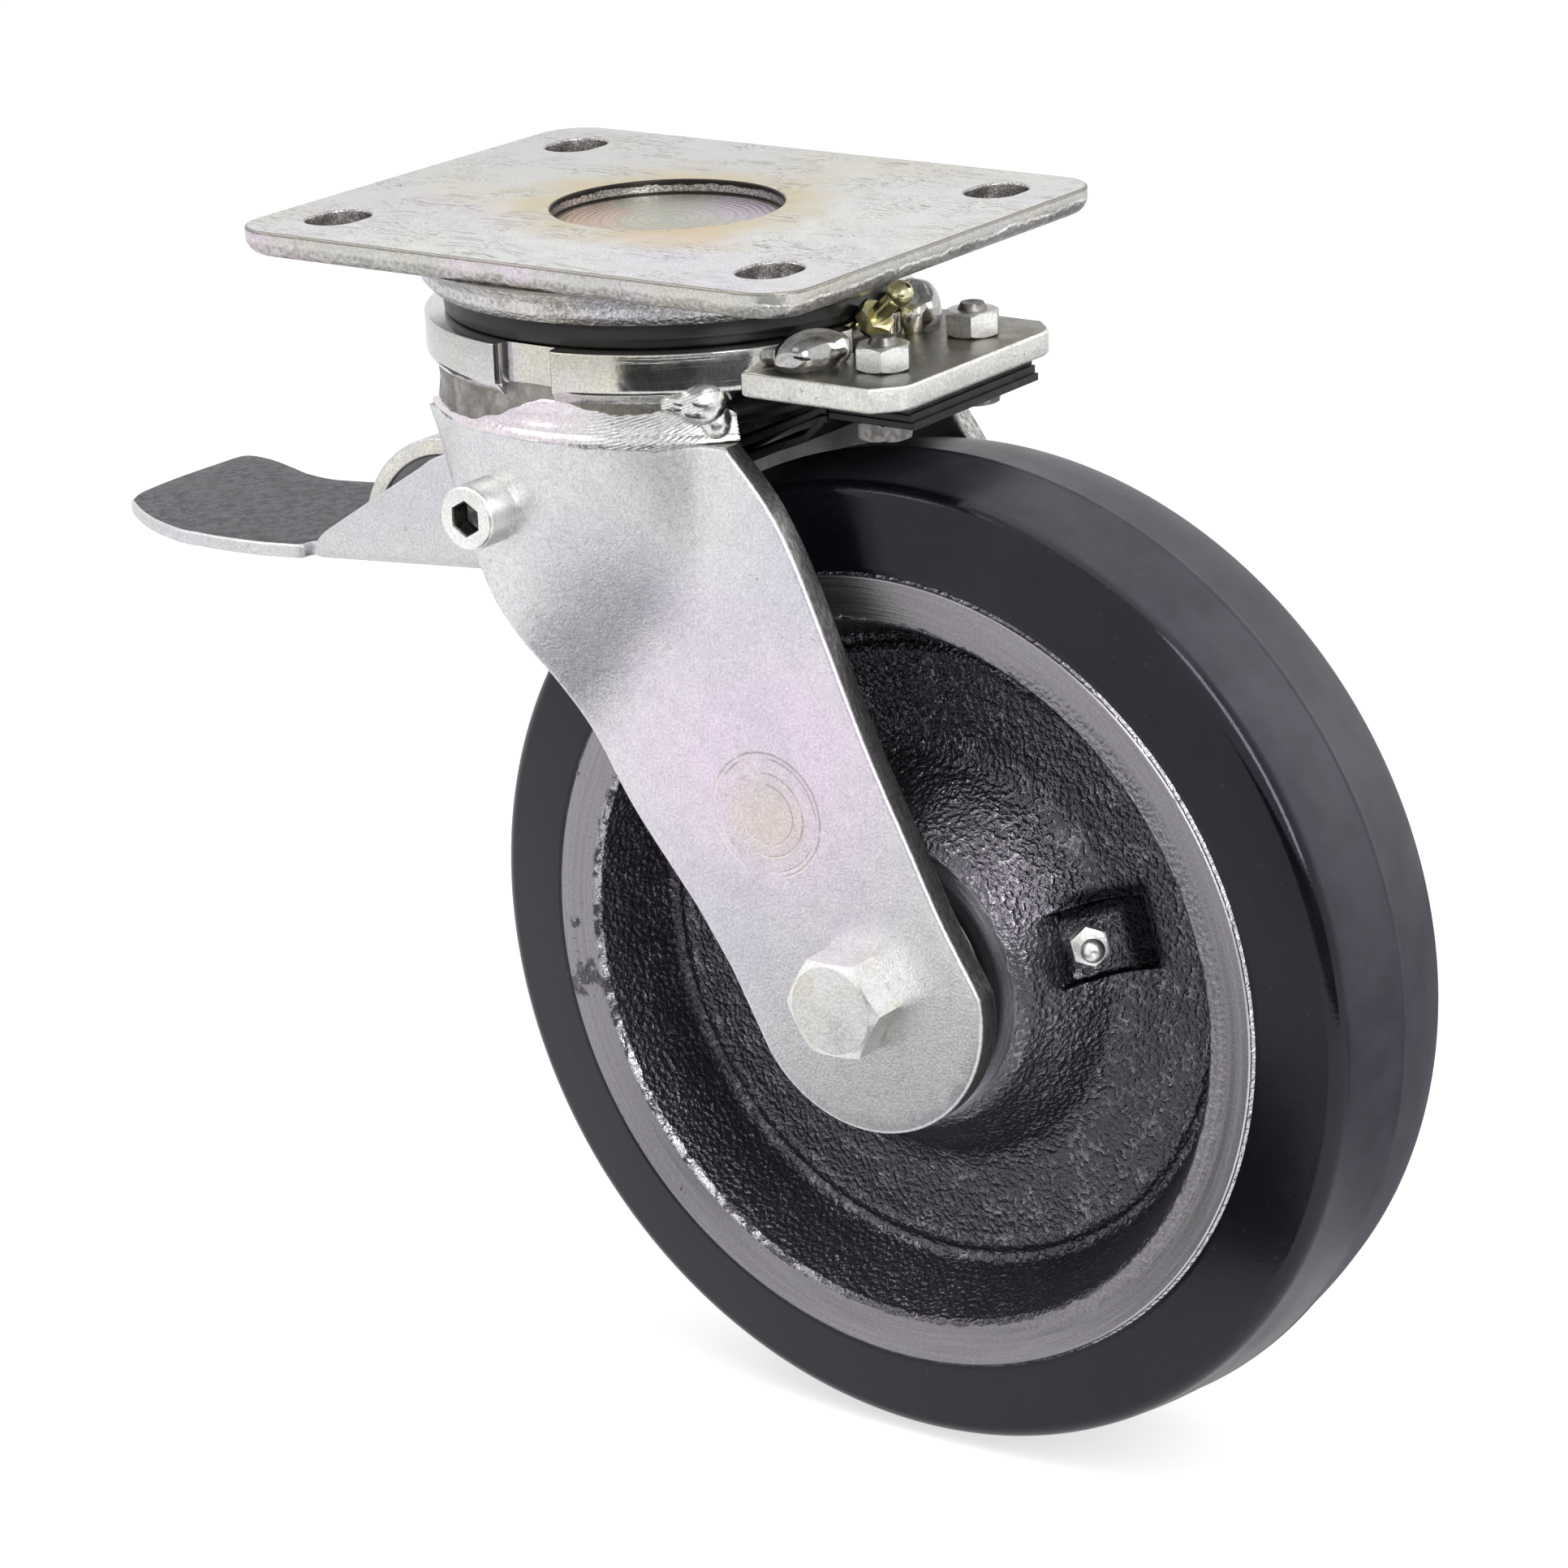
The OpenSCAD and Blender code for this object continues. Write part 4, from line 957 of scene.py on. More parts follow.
@cache
def black_casting():
    """Black painted casting: bumpy web, smooth hub end and a bare turned band with chipped edges. Painted
    highlights lie on the crests, hub end and band bevels, and painted shade on the rim wall and in the pocket.
    """
    c = colours()
    made, g, shader, p = new_material("black_casting")
    half = RIM_W / 2
    x, y, z = g.split(p)
    radial = from_axle(g, y, z)
    far = g.vector("LENGTH", radial)
    rear = g.math("DIVIDE", g.minus(y, AXLE_Y), far)
    out = g.math("ABSOLUTE", x)
    skin = use(g, cast_group(), Vector=p, Scale=1.0)
    chips = g.noise(p, 0.22, 5, 0.7, 0.8)
    jag = g.times(g.minus(chips, 0.5), 3.2)
    edge = g.plus(far, jag)
    face = g.fit(out, half - 0.5, half - 0.2)
    band = g.times(g.fit(edge, 72.9, 73.5), face)
    spots = g.noise(g.vector("ADD", p, (9, 27, 5)), 0.16, 5, 0.72, 0.6)
    cut = g.fit(rear, -0.9, 0.2, 0.635, 0.70)
    spots = g.fit(g.minus(spots, cut), 0.0, 0.015)
    patch_d = g.vector("DISTANCE", radial, (0, -76.3, -14.4))
    patch = g.fit(g.plus(patch_d, g.times(g.minus(chips, 0.5), 16.0)), 4.2, 3.6)
    paint_left = g.most(spots, patch)
    band = g.times(band, g.minus(1.0, paint_left))
    turned = g.noise(g.join(far, g.times(rear, 1.5), 0.0), 2.4, 3)
    sand = g.noise(p, 1.6, 3, 0.6)
    bare = g.mix(g.fit(g.plus(turned, g.times(sand, 0.8)), 0.6, 1.2), c.band, (0.37, 0.355, 0.37, 1))
    # Crests of the cast skin are painted lighter grey, as painted highlights.
    crest = g.fit(skin["Height"], 0.75, 1.15)
    paint = g.mix(g.times(crest, 0.85), c.paint, (0.38, 0.365, 0.39, 1))
    # The rim's inner wall is painted darker, as painted shade.
    wall = g.times(g.fit(far, 64.0, 66.0), g.fit(far, 73.6, 73.2))
    paint = g.mix(g.times(wall, 0.35), paint, (0.055, 0.05, 0.062, 1))
    # Bright bare metal on the band's bevels, kept to the side where each bevel shows its highlight: partly chipped
    # paint, partly painted highlight.
    inner = g.times(g.times(g.fit(far, 71.7, 72.2), g.fit(far, 73.4, 73.0)), g.fit(out, half - 1.6, half - 1.0))
    outer = g.times(g.fit(far, 81.1, 81.4), g.fit(out, half - 1.2, half - 0.9))
    left = g.times(g.fit(rear, -0.1, -0.6), g.fit(chips, 0.44, 0.54))
    right = g.times(g.fit(rear, 0.45, 0.75), g.fit(chips, 0.30, 0.44))
    worn = g.most(g.times(inner, left), g.times(outer, right))
    # The hub end and a ring on it are painted lighter grey, as painted highlights.
    hub = g.fit(edge, 31.0, 29.6)
    paint = g.mix(g.times(hub, 0.8), paint, (0.22, 0.21, 0.235, 1))
    ring = g.times(g.fit(far, 24.2, 25.4), g.fit(far, 29.6, 28.4))
    paint = g.mix(g.times(ring, 0.75), paint, (0.46, 0.45, 0.50, 1))
    colour = g.mix(band, paint, bare)
    colour = g.mix(g.times(worn, 0.9), colour, (0.72, 0.70, 0.73, 1))
    dy, dz = g.split(radial)[1:]
    reach = g.plus(g.times(dy, math.cos(POCKET_TURN)), g.times(dz, math.sin(POCKET_TURN)))
    off = g.minus(g.times(dz, math.cos(POCKET_TURN)), g.times(dy, math.sin(POCKET_TURN)))
    pocket = g.times(g.fit(g.math("ABSOLUTE", off), 7.75, 7.6),
                     g.times(g.fit(reach, 34.6, 35.0), g.fit(reach, 52.2, 51.8)))
    pocket = g.times(pocket, g.math("GREATER_THAN", x, 1.0))
    # The pocket floor and walls, and a soft margin above and beside the pocket, are painted near black as painted
    # shadow.
    pocket_shadow = g.most(g.fit(off, 3.2, 5.6), g.most(g.fit(reach, 42.5, 45.5), g.fit(off, -6.4, -7.3)))
    soft = g.times(g.fit(g.math("ABSOLUTE", g.minus(off, 1.2)), 10.2, 7.6),
                   g.times(g.fit(reach, 33.0, 38.0), g.fit(reach, 54.6, 52.0)))
    pocket_shadow = g.most(g.times(pocket, pocket_shadow),
                   g.times(g.times(soft, g.minus(1.0, pocket)), g.fit(g.plus(off, reach), 40.0, 48.0)))
    pocket_shadow = g.times(pocket_shadow, g.math("GREATER_THAN", x, 1.0))
    colour = g.mix(pocket_shadow, colour, (0.012, 0.010, 0.014, 1))
    rough_paint = g.fit(skin["Height"], 0.5, 1.2, 0.34, 0.20)
    rough_paint = g.add("ShaderNodeMix", {0: hub, 2: rough_paint, 3: 0.32}).outputs[0]
    rough = g.add("ShaderNodeMix", {0: band, 2: rough_paint, 3: g.fit(turned, 0.3, 0.7, 0.34, 0.46)}).outputs[0]
    fade = g.times(g.fit(rear, 0.2, 0.7), g.fit(far, 77.5, 73.0))
    still = g.most(g.times(band, g.minus(1.0, fade)), hub)
    still = g.most(still, g.times(wall, 0.45))
    still = g.most(still, g.fit(far, 44.0, 33.0, 0.0, 0.6))
    calm = g.plus(g.times(turned, 0.08), g.plus(g.times(sand, 0.06), 1.1))
    height = g.add("ShaderNodeMix", {0: still, 2: skin["Height"], 3: calm}).outputs[0]
    surface(g, shader, colour, rough, 0.92, height, 0.0009, 1.0)
    return made


@cache
def tread_rubber():
    """Smooth glossy moulded rubber with a few scuffs."""
    c = colours()
    made, g, shader, p = new_material("tread_rubber")
    y, z = g.split(p)[1:]
    far = g.vector("LENGTH", from_axle(g, y, z))
    cloud = g.noise(p, 0.03, 4, 0.6)
    dust = g.fit(g.noise(p, 0.5, 3, 0.6), 0.66, 0.74)
    matt = g.fit(far, SHOULDER_R + 0.1, SHOULDER_R + 0.6)
    polish = g.fit(g.math("ABSOLUTE", g.minus(far, SHOULDER_R - 1.0)), 2.2, 1.0)
    colour = g.mix(g.fit(cloud, 0.35, 0.7), c.rubber, (0.012, 0.011, 0.015, 1))
    ground = g.mix(g.fit(g.noise(p, 0.08, 4, 0.65), 0.35, 0.65), (0.032, 0.030, 0.039, 1),
                   (0.048, 0.045, 0.057, 1))
    colour = g.mix(matt, colour, ground)
    colour = g.mix(g.times(dust, 0.25), colour, (0.07, 0.07, 0.07, 1))
    marks = use(g, scratch_group(), Vector=p, Density=0.2)["Mask"]
    rough = g.plus(g.fit(cloud, 0.3, 0.7, 0.20, 0.30), g.times(marks, 0.2))
    rough = g.plus(rough, g.minus(g.times(matt, 0.12), g.times(polish, 0.11)))
    fine = g.noise(p, 1.4, 2)
    shader.inputs["Specular IOR Level"].default_value = 0.40
    shader.inputs["Specular Tint"].default_value = (0.90, 0.86, 1.0, 1)
    surface(g, shader, colour, rough, 0.0, g.plus(fine, g.times(cloud, 1.5)), 0.00004, 0.4)
    return made


@cache
def lip_rubber():
    """Black lip seal."""
    made, g, shader, p = new_material("lip_rubber")
    cloud = g.noise(p, 0.12, 4, 0.6)
    dust = g.fit(g.noise(p, 1.1, 2, 0.6), 0.68, 0.76)
    colour = g.mix(g.fit(cloud, 0.35, 0.7), (0.008, 0.008, 0.009, 1), (0.018, 0.017, 0.019, 1))
    colour = g.mix(g.times(dust, 0.3), colour, (0.10, 0.10, 0.10, 1))
    surface(g, shader, colour, g.fit(cloud, 0.3, 0.7, 0.26, 0.40), 0.0, cloud, 0.0001, 0.4)
    return made


@cache
def leaf_steel():
    """Blackened spring steel with worn grey edges."""
    c = colours()
    made, g, shader, p = new_material("leaf_steel")
    cloud = g.noise(p, 0.10, 4, 0.6)
    worn = g.fit(g.noise(p, 0.35, 4, 0.7), 0.56, 0.72)
    colour = g.mix(g.times(worn, 0.55), c.spring, (0.065, 0.062, 0.068, 1))
    surface(g, shader, colour, g.fit(cloud, 0.3, 0.7, 0.34, 0.52), 0.25, g.noise(p, 0.9, 3), 0.0001, 0.5)
    return made


@cache
def pedal_grey():
    """Dark worn top of the pedal."""
    c = colours()
    made, g, shader, p = new_material("pedal_grey")
    cloud = g.noise(g.mapped(p, (0, 0, 24), (1, 0.4, 1)), 0.10, 5, 0.65)
    streak = g.noise(g.mapped(p, (0, 0, 14), (0.12, 1.3, 1)), 1.0, 3, 0.6)
    grain = use(g, grain_group(), Vector=p, Scale=1.4)
    colour = g.mix(g.fit(cloud, 0.34, 0.66), c.pedal_top, (0.165, 0.158, 0.175, 1))
    colour = g.mix(g.times(g.fit(streak, 0.52, 0.70), 0.45), colour, (0.21, 0.205, 0.215, 1))
    colour = g.mix(g.times(g.fit(grain["Height"], 0.6, 1.0), 0.35), colour, (0.055, 0.052, 0.06, 1))
    colour = g.mix(g.times(g.fit(g.noise(p, 0.42, 5, 0.75), 0.44, 0.58), 0.75), colour, (0.035, 0.032, 0.04, 1))
    colour = g.mix(g.times(grain["Specks"], 0.4), colour, (0.30, 0.29, 0.30, 1))
    colour = g.mix(g.times(grain["Pits"], 0.6), colour, (0.03, 0.03, 0.03, 1))
    surface(g, shader, colour, g.fit(cloud, 0.3, 0.7, 0.42, 0.56), 0.75, grain["Height"], 0.00018, 0.7)
    return made


@cache
def wing_zinc():
    """Zinc of the pedal's wings and cut edges."""
    c = colours()
    made, g, shader, p = new_material("wing_zinc")
    base = use(g, plating_group(), Vector=p, Zinc=c.zinc, Straw=c.zinc, Lilac=c.lilac, Tint=0.6, Patch=0.03)
    grain = use(g, grain_group(), Vector=p, Scale=1.3)
    colour = g.mix(g.times(grain["Pits"], 0.6), base["Color"], (0.20, 0.19, 0.18, 1))
    colour = g.mix(g.times(grain["Specks"], 0.3), colour, (0.85, 0.85, 0.84, 1))
    surface(g, shader, colour, g.fit(grain["Height"], 0.4, 1.1, 0.36, 0.52), 1.0, grain["Height"], 0.00012, 0.5)
    return made


@cache
def ground_steel():
    """Ground steel of the hidden rings, balls, sleeves and bushes."""
    c = colours()
    made, g, shader, p = new_material("ground_steel")
    fine = g.noise(g.mapped(p, (0, 0, 0), (2.2, 0.4, 0.4)), 1.0, 3)
    colour = g.mix(g.fit(fine, 0.3, 0.7), c.bearing, (0.46, 0.46, 0.47, 1))
    surface(g, shader, colour, g.fit(fine, 0.3, 0.7, 0.18, 0.30), 1.0, fine, 0.00003, 0.4)
    return made


# Geometry node trees

def ball_rows_tree():
    """Rings of balls: a circle of balls, repeated along its own axis."""
    tree = bpy.data.node_groups.new("Ball rows", "GeometryNodeTree")
    for kind, label in (("Int", "Balls"), ("Float", "Pitch radius"), ("Float", "Ball radius"), ("Int", "Rows"),
                        ("Float", "Row gap"),
                        ("Vector", "Axis turn"), ("Vector", "Middle"), ("Material", "Material")):
        tree.interface.new_socket(label, in_out="INPUT", socket_type="NodeSocket" + kind)
    tree.interface.new_socket("Geometry", in_out="OUTPUT", socket_type="NodeSocketGeometry")
    g = Graph(tree)
    given = tree.nodes.new("NodeGroupInput").outputs
    ring = g.add("GeometryNodeMeshCircle", {"Vertices": given["Balls"], "Radius": given["Pitch radius"]})
    ball = g.add("GeometryNodeMeshUVSphere", {"Segments": 24, "Rings": 12, "Radius": given["Ball radius"]})
    balls = g.add("GeometryNodeInstanceOnPoints", {"Points": ring.outputs[0], "Instance": ball.outputs[0]})
    start = g.times(given["Row gap"], -0.5)
    line = g.add("GeometryNodeMeshLine", {"Count": given["Rows"],
                                          "Start Location": g.add("ShaderNodeCombineXYZ", {2: start}).outputs[0],
                                          "Offset": g.add("ShaderNodeCombineXYZ",
                                                          {2: given["Row gap"]}).outputs[0]})
    rows = g.add("GeometryNodeInstanceOnPoints", {"Points": line.outputs[0], "Instance": balls.outputs[0]})
    placed = g.add("GeometryNodeTransform",
                   {"Geometry": rows.outputs[0], "Translation": given["Middle"], "Rotation": given["Axis turn"]})
    real = g.add("GeometryNodeRealizeInstances", {0: placed.outputs[0]})
    smooth = g.add("GeometryNodeSetShadeSmooth", {0: real.outputs[0]})
    painted = g.add("GeometryNodeSetMaterial", {"Geometry": smooth.outputs[0], "Material": given["Material"]})
    out = tree.nodes.new("NodeGroupOutput")
    tree.links.new(painted.outputs[0], out.inputs[0])
    return tree


def copies_tree():
    """Copies of one fastener in a row."""
    tree = bpy.data.node_groups.new("Fastener row", "GeometryNodeTree")
    for kind, label in (("Object", "Fastener"), ("Int", "Count"), ("Vector", "First"), ("Vector", "Step"),
                        ("Material", "Material")):
        tree.interface.new_socket(label, in_out="INPUT", socket_type="NodeSocket" + kind)
    tree.interface.new_socket("Geometry", in_out="OUTPUT", socket_type="NodeSocketGeometry")
    g = Graph(tree)
    given = tree.nodes.new("NodeGroupInput").outputs
    line = g.add("GeometryNodeMeshLine",
                 {"Count": given["Count"], "Start Location": given["First"], "Offset": given["Step"]})
    source = g.add("GeometryNodeObjectInfo", {"Object": given["Fastener"]})
    copies = g.add("GeometryNodeInstanceOnPoints",
                   {"Points": line.outputs[0], "Instance": source.outputs["Geometry"]})
    real = g.add("GeometryNodeRealizeInstances", {0: copies.outputs[0]})
    painted = g.add("GeometryNodeSetMaterial", {"Geometry": real.outputs[0], "Material": given["Material"]})
    out = tree.nodes.new("NodeGroupOutput")
    tree.links.new(painted.outputs[0], out.inputs[0])
    return tree


def grown(name, tree, values, body, nodes):
    """Piece from a geometry node tree, made a plain mesh."""
    obj = bpy.data.objects.new(name, bpy.data.meshes.new(name))
    bpy.context.scene.collection.objects.link(obj)
    maker = obj.modifiers.new("Maker", "NODES")
    maker.node_group = tree
    for socket in tree.interface.items_tree:
        if socket.in_out == "INPUT" and socket.name in values:
            maker[socket.identifier] = values[socket.name]
    mesh = bpy.data.meshes.new_from_object(obj.evaluated_get(bpy.context.evaluated_depsgraph_get()))
    obj.modifiers.remove(maker)
    obj.data = mesh
    mesh.name = name
    return settle(obj, body, nodes)


def pattern(name, parts, sharp=28):
    """Single fastener at the origin that a tree copies."""
    mesh = bpy.data.meshes.new(name)
    verts, faces = [], []
    for part_verts, part_faces, _ in parts:
        base = len(verts)
        verts += part_verts
        faces += [tuple(base + i for i in f) for f in part_faces]
    mesh.from_pydata(metres(verts), [], faces)
    finish_mesh(mesh, sharp)
    obj = bpy.data.objects.new(name, mesh)
    bpy.context.scene.collection.objects.link(obj)
    return obj


# Operators

class CastorOperator:
    bl_options = {"REGISTER", "UNDO"}


class CASTOR_OT_top_plate(CastorOperator, bpy.types.Operator):
    """Forged plate with its slots, turned recess, boss and kingpin"""
    bl_idname = "castor.top_plate"
    bl_label = "Top plate"

    def execute(self, context):
        s = sizes()
        half_x, half_y = PLATE_HIGH.x, PLATE_HIGH.y
        corners = [(-half_x, -half_y), (half_x, -half_y), (half_x, half_y), (-half_x, half_y)]
        loops = [resample(fillet(corners, 10, 12), 6)]
        lips = [(MM * s.plate_lip, MM * s.plate_skirt)]
        r, reach = BOLTS["hole_r_mm"], (BOLTS["slot_length_mm"] / 2 - BOLTS["hole_r_mm"])
        for i in (-1, 1):
            for j in (-1, 1):
                x, y = i * BOLTS["spacing_x_mm"] / 2, j * BOLTS["spacing_y_mm"] / 2
                ends = [circle((x + reach, y), r, 24, -math.pi / 2, math.pi / 2),
                        circle((x - reach, y), r, 24, math.pi / 2, 1.5 * math.pi)]
                loops.append(hole(np.vstack(ends)))
                lips.append((0.4, 0.6))
        loops.append(hole(circle((0, 0), 23.3, 112)))
        lips.append((0.35, 0.3))
        plate = flat_slab(loops, 0, -5.5, lips, (0, 1, 2), 5)
        remark(plate, 4, lambda mark, at: mark == 1 and abs(at[0]) < half_x - 3 and abs(at[1]) < half_y - 3)
        floor = [(0, -3.0)] + [(k * 23.35 / 30, -3.0 + 0.12 * (k / 30) ** 2)
                               for k in range(1, 31)] + [(23.35, -4.6), (0, -4.6)]
        groove = [(36 + 4.05 * math.cos(a), -15.85 + 4.05 * math.sin(a))
                  for a in np.linspace(0.713, math.pi - 0.713, 7)]
        boss = fillet([(0, -4.2), (56, -5.2), (52.4, -6.6), (49.9, -9.2), (49.6, -11.4), (47.8, -13.2)],
                      [0, 0, 2, 2, 1.5, 0], 4, False).tolist()
        boss += groove + [(10, -13.2), (10, -30.5), (8, -30.5), (8, -36.5), (0, -36.5)]
        piece("plate", [plate, lathe(floor, on_swivel, 112, 3), lathe(boss, on_swivel, 160, 2)], "mount",
              ["top_plate"], [plate_zinc(), plate_edge(), forged_skin(), recess_zinc(), slot_wall()], 35)
        return {"FINISHED"}


class CASTOR_OT_swivel_head(CastorOperator, bpy.types.Operator):
    """Turned head with four notches, the necks that carry the legs and the lip seal"""
    bl_idname = "castor.swivel_head"
    bl_label = "Swivel head"

    def execute(self, context):
        r, cut, half = FLANGE_R, FLANGE_R - 3.6, math.asin(6.4 / FLANGE_R)
        outer = fillet([(44, -18.5), (r, -18.5), (r, -26.2), (47.2, -28.8), (44, -28.8)], [0, 0.35, 1.8, 0.4, 0],
                       4, False)
        rest = [(44, -27.1), (24.5, -27.1), (24.5, -31), (22, -31), (22, -21.5), (11, -21.5), (11, -18.5)]
        rest += [(36 + 4.05 * math.cos(a), -15.85 + 4.05 * math.sin(a))
                 for a in np.linspace(math.pi + 0.713, math.tau - 0.713, 7)]
        profile = outer.tolist() + rest

        def section(a):
            off = abs((a + math.pi / 4) % (math.pi / 2) - math.pi / 4)
            limit = (cut / math.cos(off) if off < half - 0.001
                     else r - 1.1 * max(0.0, 1 - (off - half) / 0.022) ** 2)
            return [(min(q, limit), h) for q, h in profile]

        turns = set(np.linspace(0, math.tau, 240, endpoint=False))
        for n in range(4):
            for side in (-1, 1):
                for step in (-0.004, -0.0015, 0.0, 0.006, 0.012, 0.022):
                    turns.add((n * math.pi / 2 + side * (half + step)) % math.tau)
        parts = [spin(section, sorted(turns), on_swivel)]
        neck = fillet([(46.5, -26.5), (47.1, -29.5), (46.9, -32.5), (47.4, -36.4), (42.6, -36.4), (42.6, -26.5)],
                      [0, 3, 3, 0, 0, 0], 4).tolist()
        for middle in (0, math.pi):
            mirror = 1 if middle == 0 else -1
            span = sorted((middle - mirror * math.radians(58.5), middle + mirror * math.radians(47)))
            parts.append(spin(lambda a: neck, np.linspace(span[0], span[1], 60), on_swivel, False, 1))
        piece("head", parts, "fork", ["swivel_head"], [flange_zinc(), neck_forging()], 30)
        seal_r = SEAL_HIGH.x
        lip = fillet([(seal_r - 3, SEAL_LOW.z), (seal_r, SEAL_LOW.z), (seal_r + 0.2, -16.4),
                      (seal_r - 0.7, SEAL_HIGH.z),
                      (seal_r - 3, SEAL_HIGH.z)], [0, 0.8, 1.2, 0.6, 0], 5).tolist()
        piece("lip_seal", [lathe(lip, on_swivel, 160)], "fork", ["dust_seal"], [lip_rubber()], 40)
        return {"FINISHED"}


def leg_plane(depth):
    """X of the pressed slope between the wrapped top and the flat leg."""
    slope, run = math.tan(math.radians(23)), math.radians(50)
    az = math.atan(slope * math.sin(run))
    el = math.atan(slope * math.cos(run) * math.cos(az))
    n = (math.cos(el) * math.cos(az), math.cos(el) * math.sin(az), -math.sin(el))
    return lambda y, z: LEG_OUT + (-depth - n[1] * (y - 33.9) - n[2] * (z + 63)) / n[0]


def leg_surface(depth, side):
    plane = leg_plane(depth)
    blend = MM * sizes().leg_blend

    def at(q):
        y, z = q[:, 0], q[:, 1]
        wrap = np.sqrt(np.maximum((48.6 - depth) ** 2 - y ** 2, 1.0))
        x = soft_max(soft_min(wrap, plane(y, z), 1.6 * blend), np.full(len(q), LEG_OUT - depth), blend)
        return np.c_[side * x, y, z]
    return at


class CASTOR_OT_legs(CastorOperator, bpy.types.Operator):
    """Pressed legs that wrap the neck and run out to the axle"""
    bl_idname = "castor.legs"
    bl_label = "Fork legs"

    def execute(self, context):
        lip = MM * sizes().leg_lip
        end = (AXLE_Y + 2.4, AXLE_Z)
        foot = circle(end, 27.6, 40, math.radians(214), math.radians(371))
        rear = spline([(93.6, -138.6), (85.2, -124.6), (78.2, -110.6), (69, -92), (59.8, -70.6), (53.6, -56.6),
                       (47.5, -46.5), (38.5, -36.6)], 6)
        front = fillet([(-34.0, -36.4), (-32.4, -39.4), (-2.4, -86.2), (9.8, -110.5), (27.4, -132.1),
                        (35.0, -143.4)],
                       [0, 2, 60, 90, 40, 0], 6, False)
        outline = resample(np.vstack([front, foot, rear[1:]]), 2.2)
        holes = [hole(circle((AXLE_Y, AXLE_Z), 6, 40)), hole(circle((PIVOT_Y, PIVOT_Z), 4, 32))]
        for name, side in (("near_leg", 1), ("far_leg", -1)):
            # The inner faces take the zinc painted dark as painted shade.
            solid = slab([outline] + holes, leg_surface(0, side), leg_surface(6, side), 6,
                         [(lip, lip), (0.3, 0.3), (0.3, 0.3)],
                         3, 2.0, (0, 1, 2, 0))
            piece(name + "_skin", [solid], "fork", [name], [leg_zinc(), leg_edge(), shaded_inner_zinc()], 40)
        return {"FINISHED"}


class CASTOR_OT_welds(CastorOperator, bpy.types.Operator):
    """Rippled weld between neck and legs, with lumps at its rear ends, and the bracket's weld lumps"""
    bl_idname = "castor.welds"
    bl_label = "Welds"

    def execute(self, context):
        ripple = MM * sizes().weld_ripple
        top_at = np.array([(-47, -35.6), (-20, -35.2), (-8.5, -32.4), (-1.5, -29.7), (3.9, -28.4), (9.7, -28.2),
                           (14.9, -29.6), (22.8, -30.6),
                           (29.4, -30.4), (33.8, -29.8), (38, -29.0), (47, -29.5), (51, -31.0)])
        low_at = np.array([(-47, -37.0), (-37, -37.0), (-19.7, -36.9), (-8.8, -37.0), (0.7, -37.1), (8.5, -37.3),
                           (14.5, -37.8), (21.4, -37.6),
                           (29.1, -37.9), (34.5, -38.1), (38.8, -37.3), (42.2, -36.9), (51, -36.9)])
        wall = np.array([(-40, 48.55), (-36.2, 48.55), (-34.8, 47.2), (-28.4, 47.1), (-26.1, 49.6), (-20, 49.7)])
        parts = []
        for side in (0, 1):
            turns = np.radians(np.linspace(-47, 51, 190))
            across = np.linspace(0, 1, 72)
            outer, inner = np.zeros((len(turns), len(across), 3)), np.zeros((len(turns), len(across), 3))
            for i, a in enumerate(turns):
                deg = math.degrees(a)
                top = np.interp(deg, *top_at.T) + 0.35 * noise.noise(Vector((deg * 0.25, 3, side)))
                low = np.interp(deg, *low_at.T) + 0.35 * noise.noise(Vector((deg * 0.30, 9, side)))
                for j, t in enumerate(across):
                    z = top + (low - top) * t
                    base = np.interp(z, *wall.T)
                    crown = min(1.0, 4.5 * math.sin(math.pi * t)) ** 0.7
                    fill = 1.1 * math.exp(-((z + 34.9) / 1.7) ** 2) * min(1.0, max(0.25, (deg + 20) / 16))
                    calm = noise.noise(Vector((deg * 0.07, z * 0.35, 7 + side)))
                    flow = z - 0.0066 * max(0.0, deg - 9) ** 2 + 0.5 * calm
                    wave = abs(math.sin(math.pi * flow / 0.66)) ** 0.6
                    zone = min(1.0, max(0.0, (deg - 13) / 12))
                    lift = crown * (0.5 + 0.35 * calm + fill + zone * ripple * 2.0 * wave)
                    r = base - 0.45 + lift
                    mirrored = math.pi - a if side else a
                    outer[i, j] = (r * math.cos(mirrored), r * math.sin(mirrored), z)
                    inner[i, j] = ((base - 1.4) * math.cos(mirrored), (base - 1.4) * math.sin(mirrored), z)
            parts.append(shell(outer, inner))
            for deg, r, z, radii in ((43.0, 47.4, -28.6, (3.9, 5.2, 4.6)), (46.0, 46.8, -33.0, (3.2, 3.4, 4.2)),
                                     (38.6, 47.4, -28.4, (2.6, 4.6, 2.6))):
                parts.append(self.lump(deg if side == 0 else 180 - deg, r, z, radii, side))
        piece("neck_welds", parts, "fork", ["leg_welds"], [weld_zinc()], 75)
        lumps = []
        for side, middle, radii in ((1, (20.6, 48.6, -20.4), (8.4, 5.0, 4.9)),
                                    (-1, (-15.6, 47.4, -20.2), (7.4, 5.6, 6.4))):
            ball = bmesh.new()
            bmesh.ops.create_icosphere(ball, subdivisions=5, radius=1.0)
            turn = Matrix.Rotation(math.radians(-21 * side), 3, "Z")
            verts = []
            for v in ball.verts:
                bulge = 1 + 0.12 * noise.noise(v.co * 1.5 + Vector((side * 5, 2, 1)))
                q = turn @ Vector((v.co.x * radii[0] * bulge, v.co.y * radii[1] * bulge,
                                   v.co.z * radii[2] * bulge))
                verts.append((q.x + middle[0], q.y + middle[1], max(q.z + middle[2], -24.0)))
            lumps.append((verts, [tuple(v.index for v in f.verts) for f in ball.faces], [0] * len(ball.faces)))
            ball.free()
        piece("bracket_weld_lumps", lumps, "fork", ["bracket_welds"], [lump_weld()], 60)
        return {"FINISHED"}

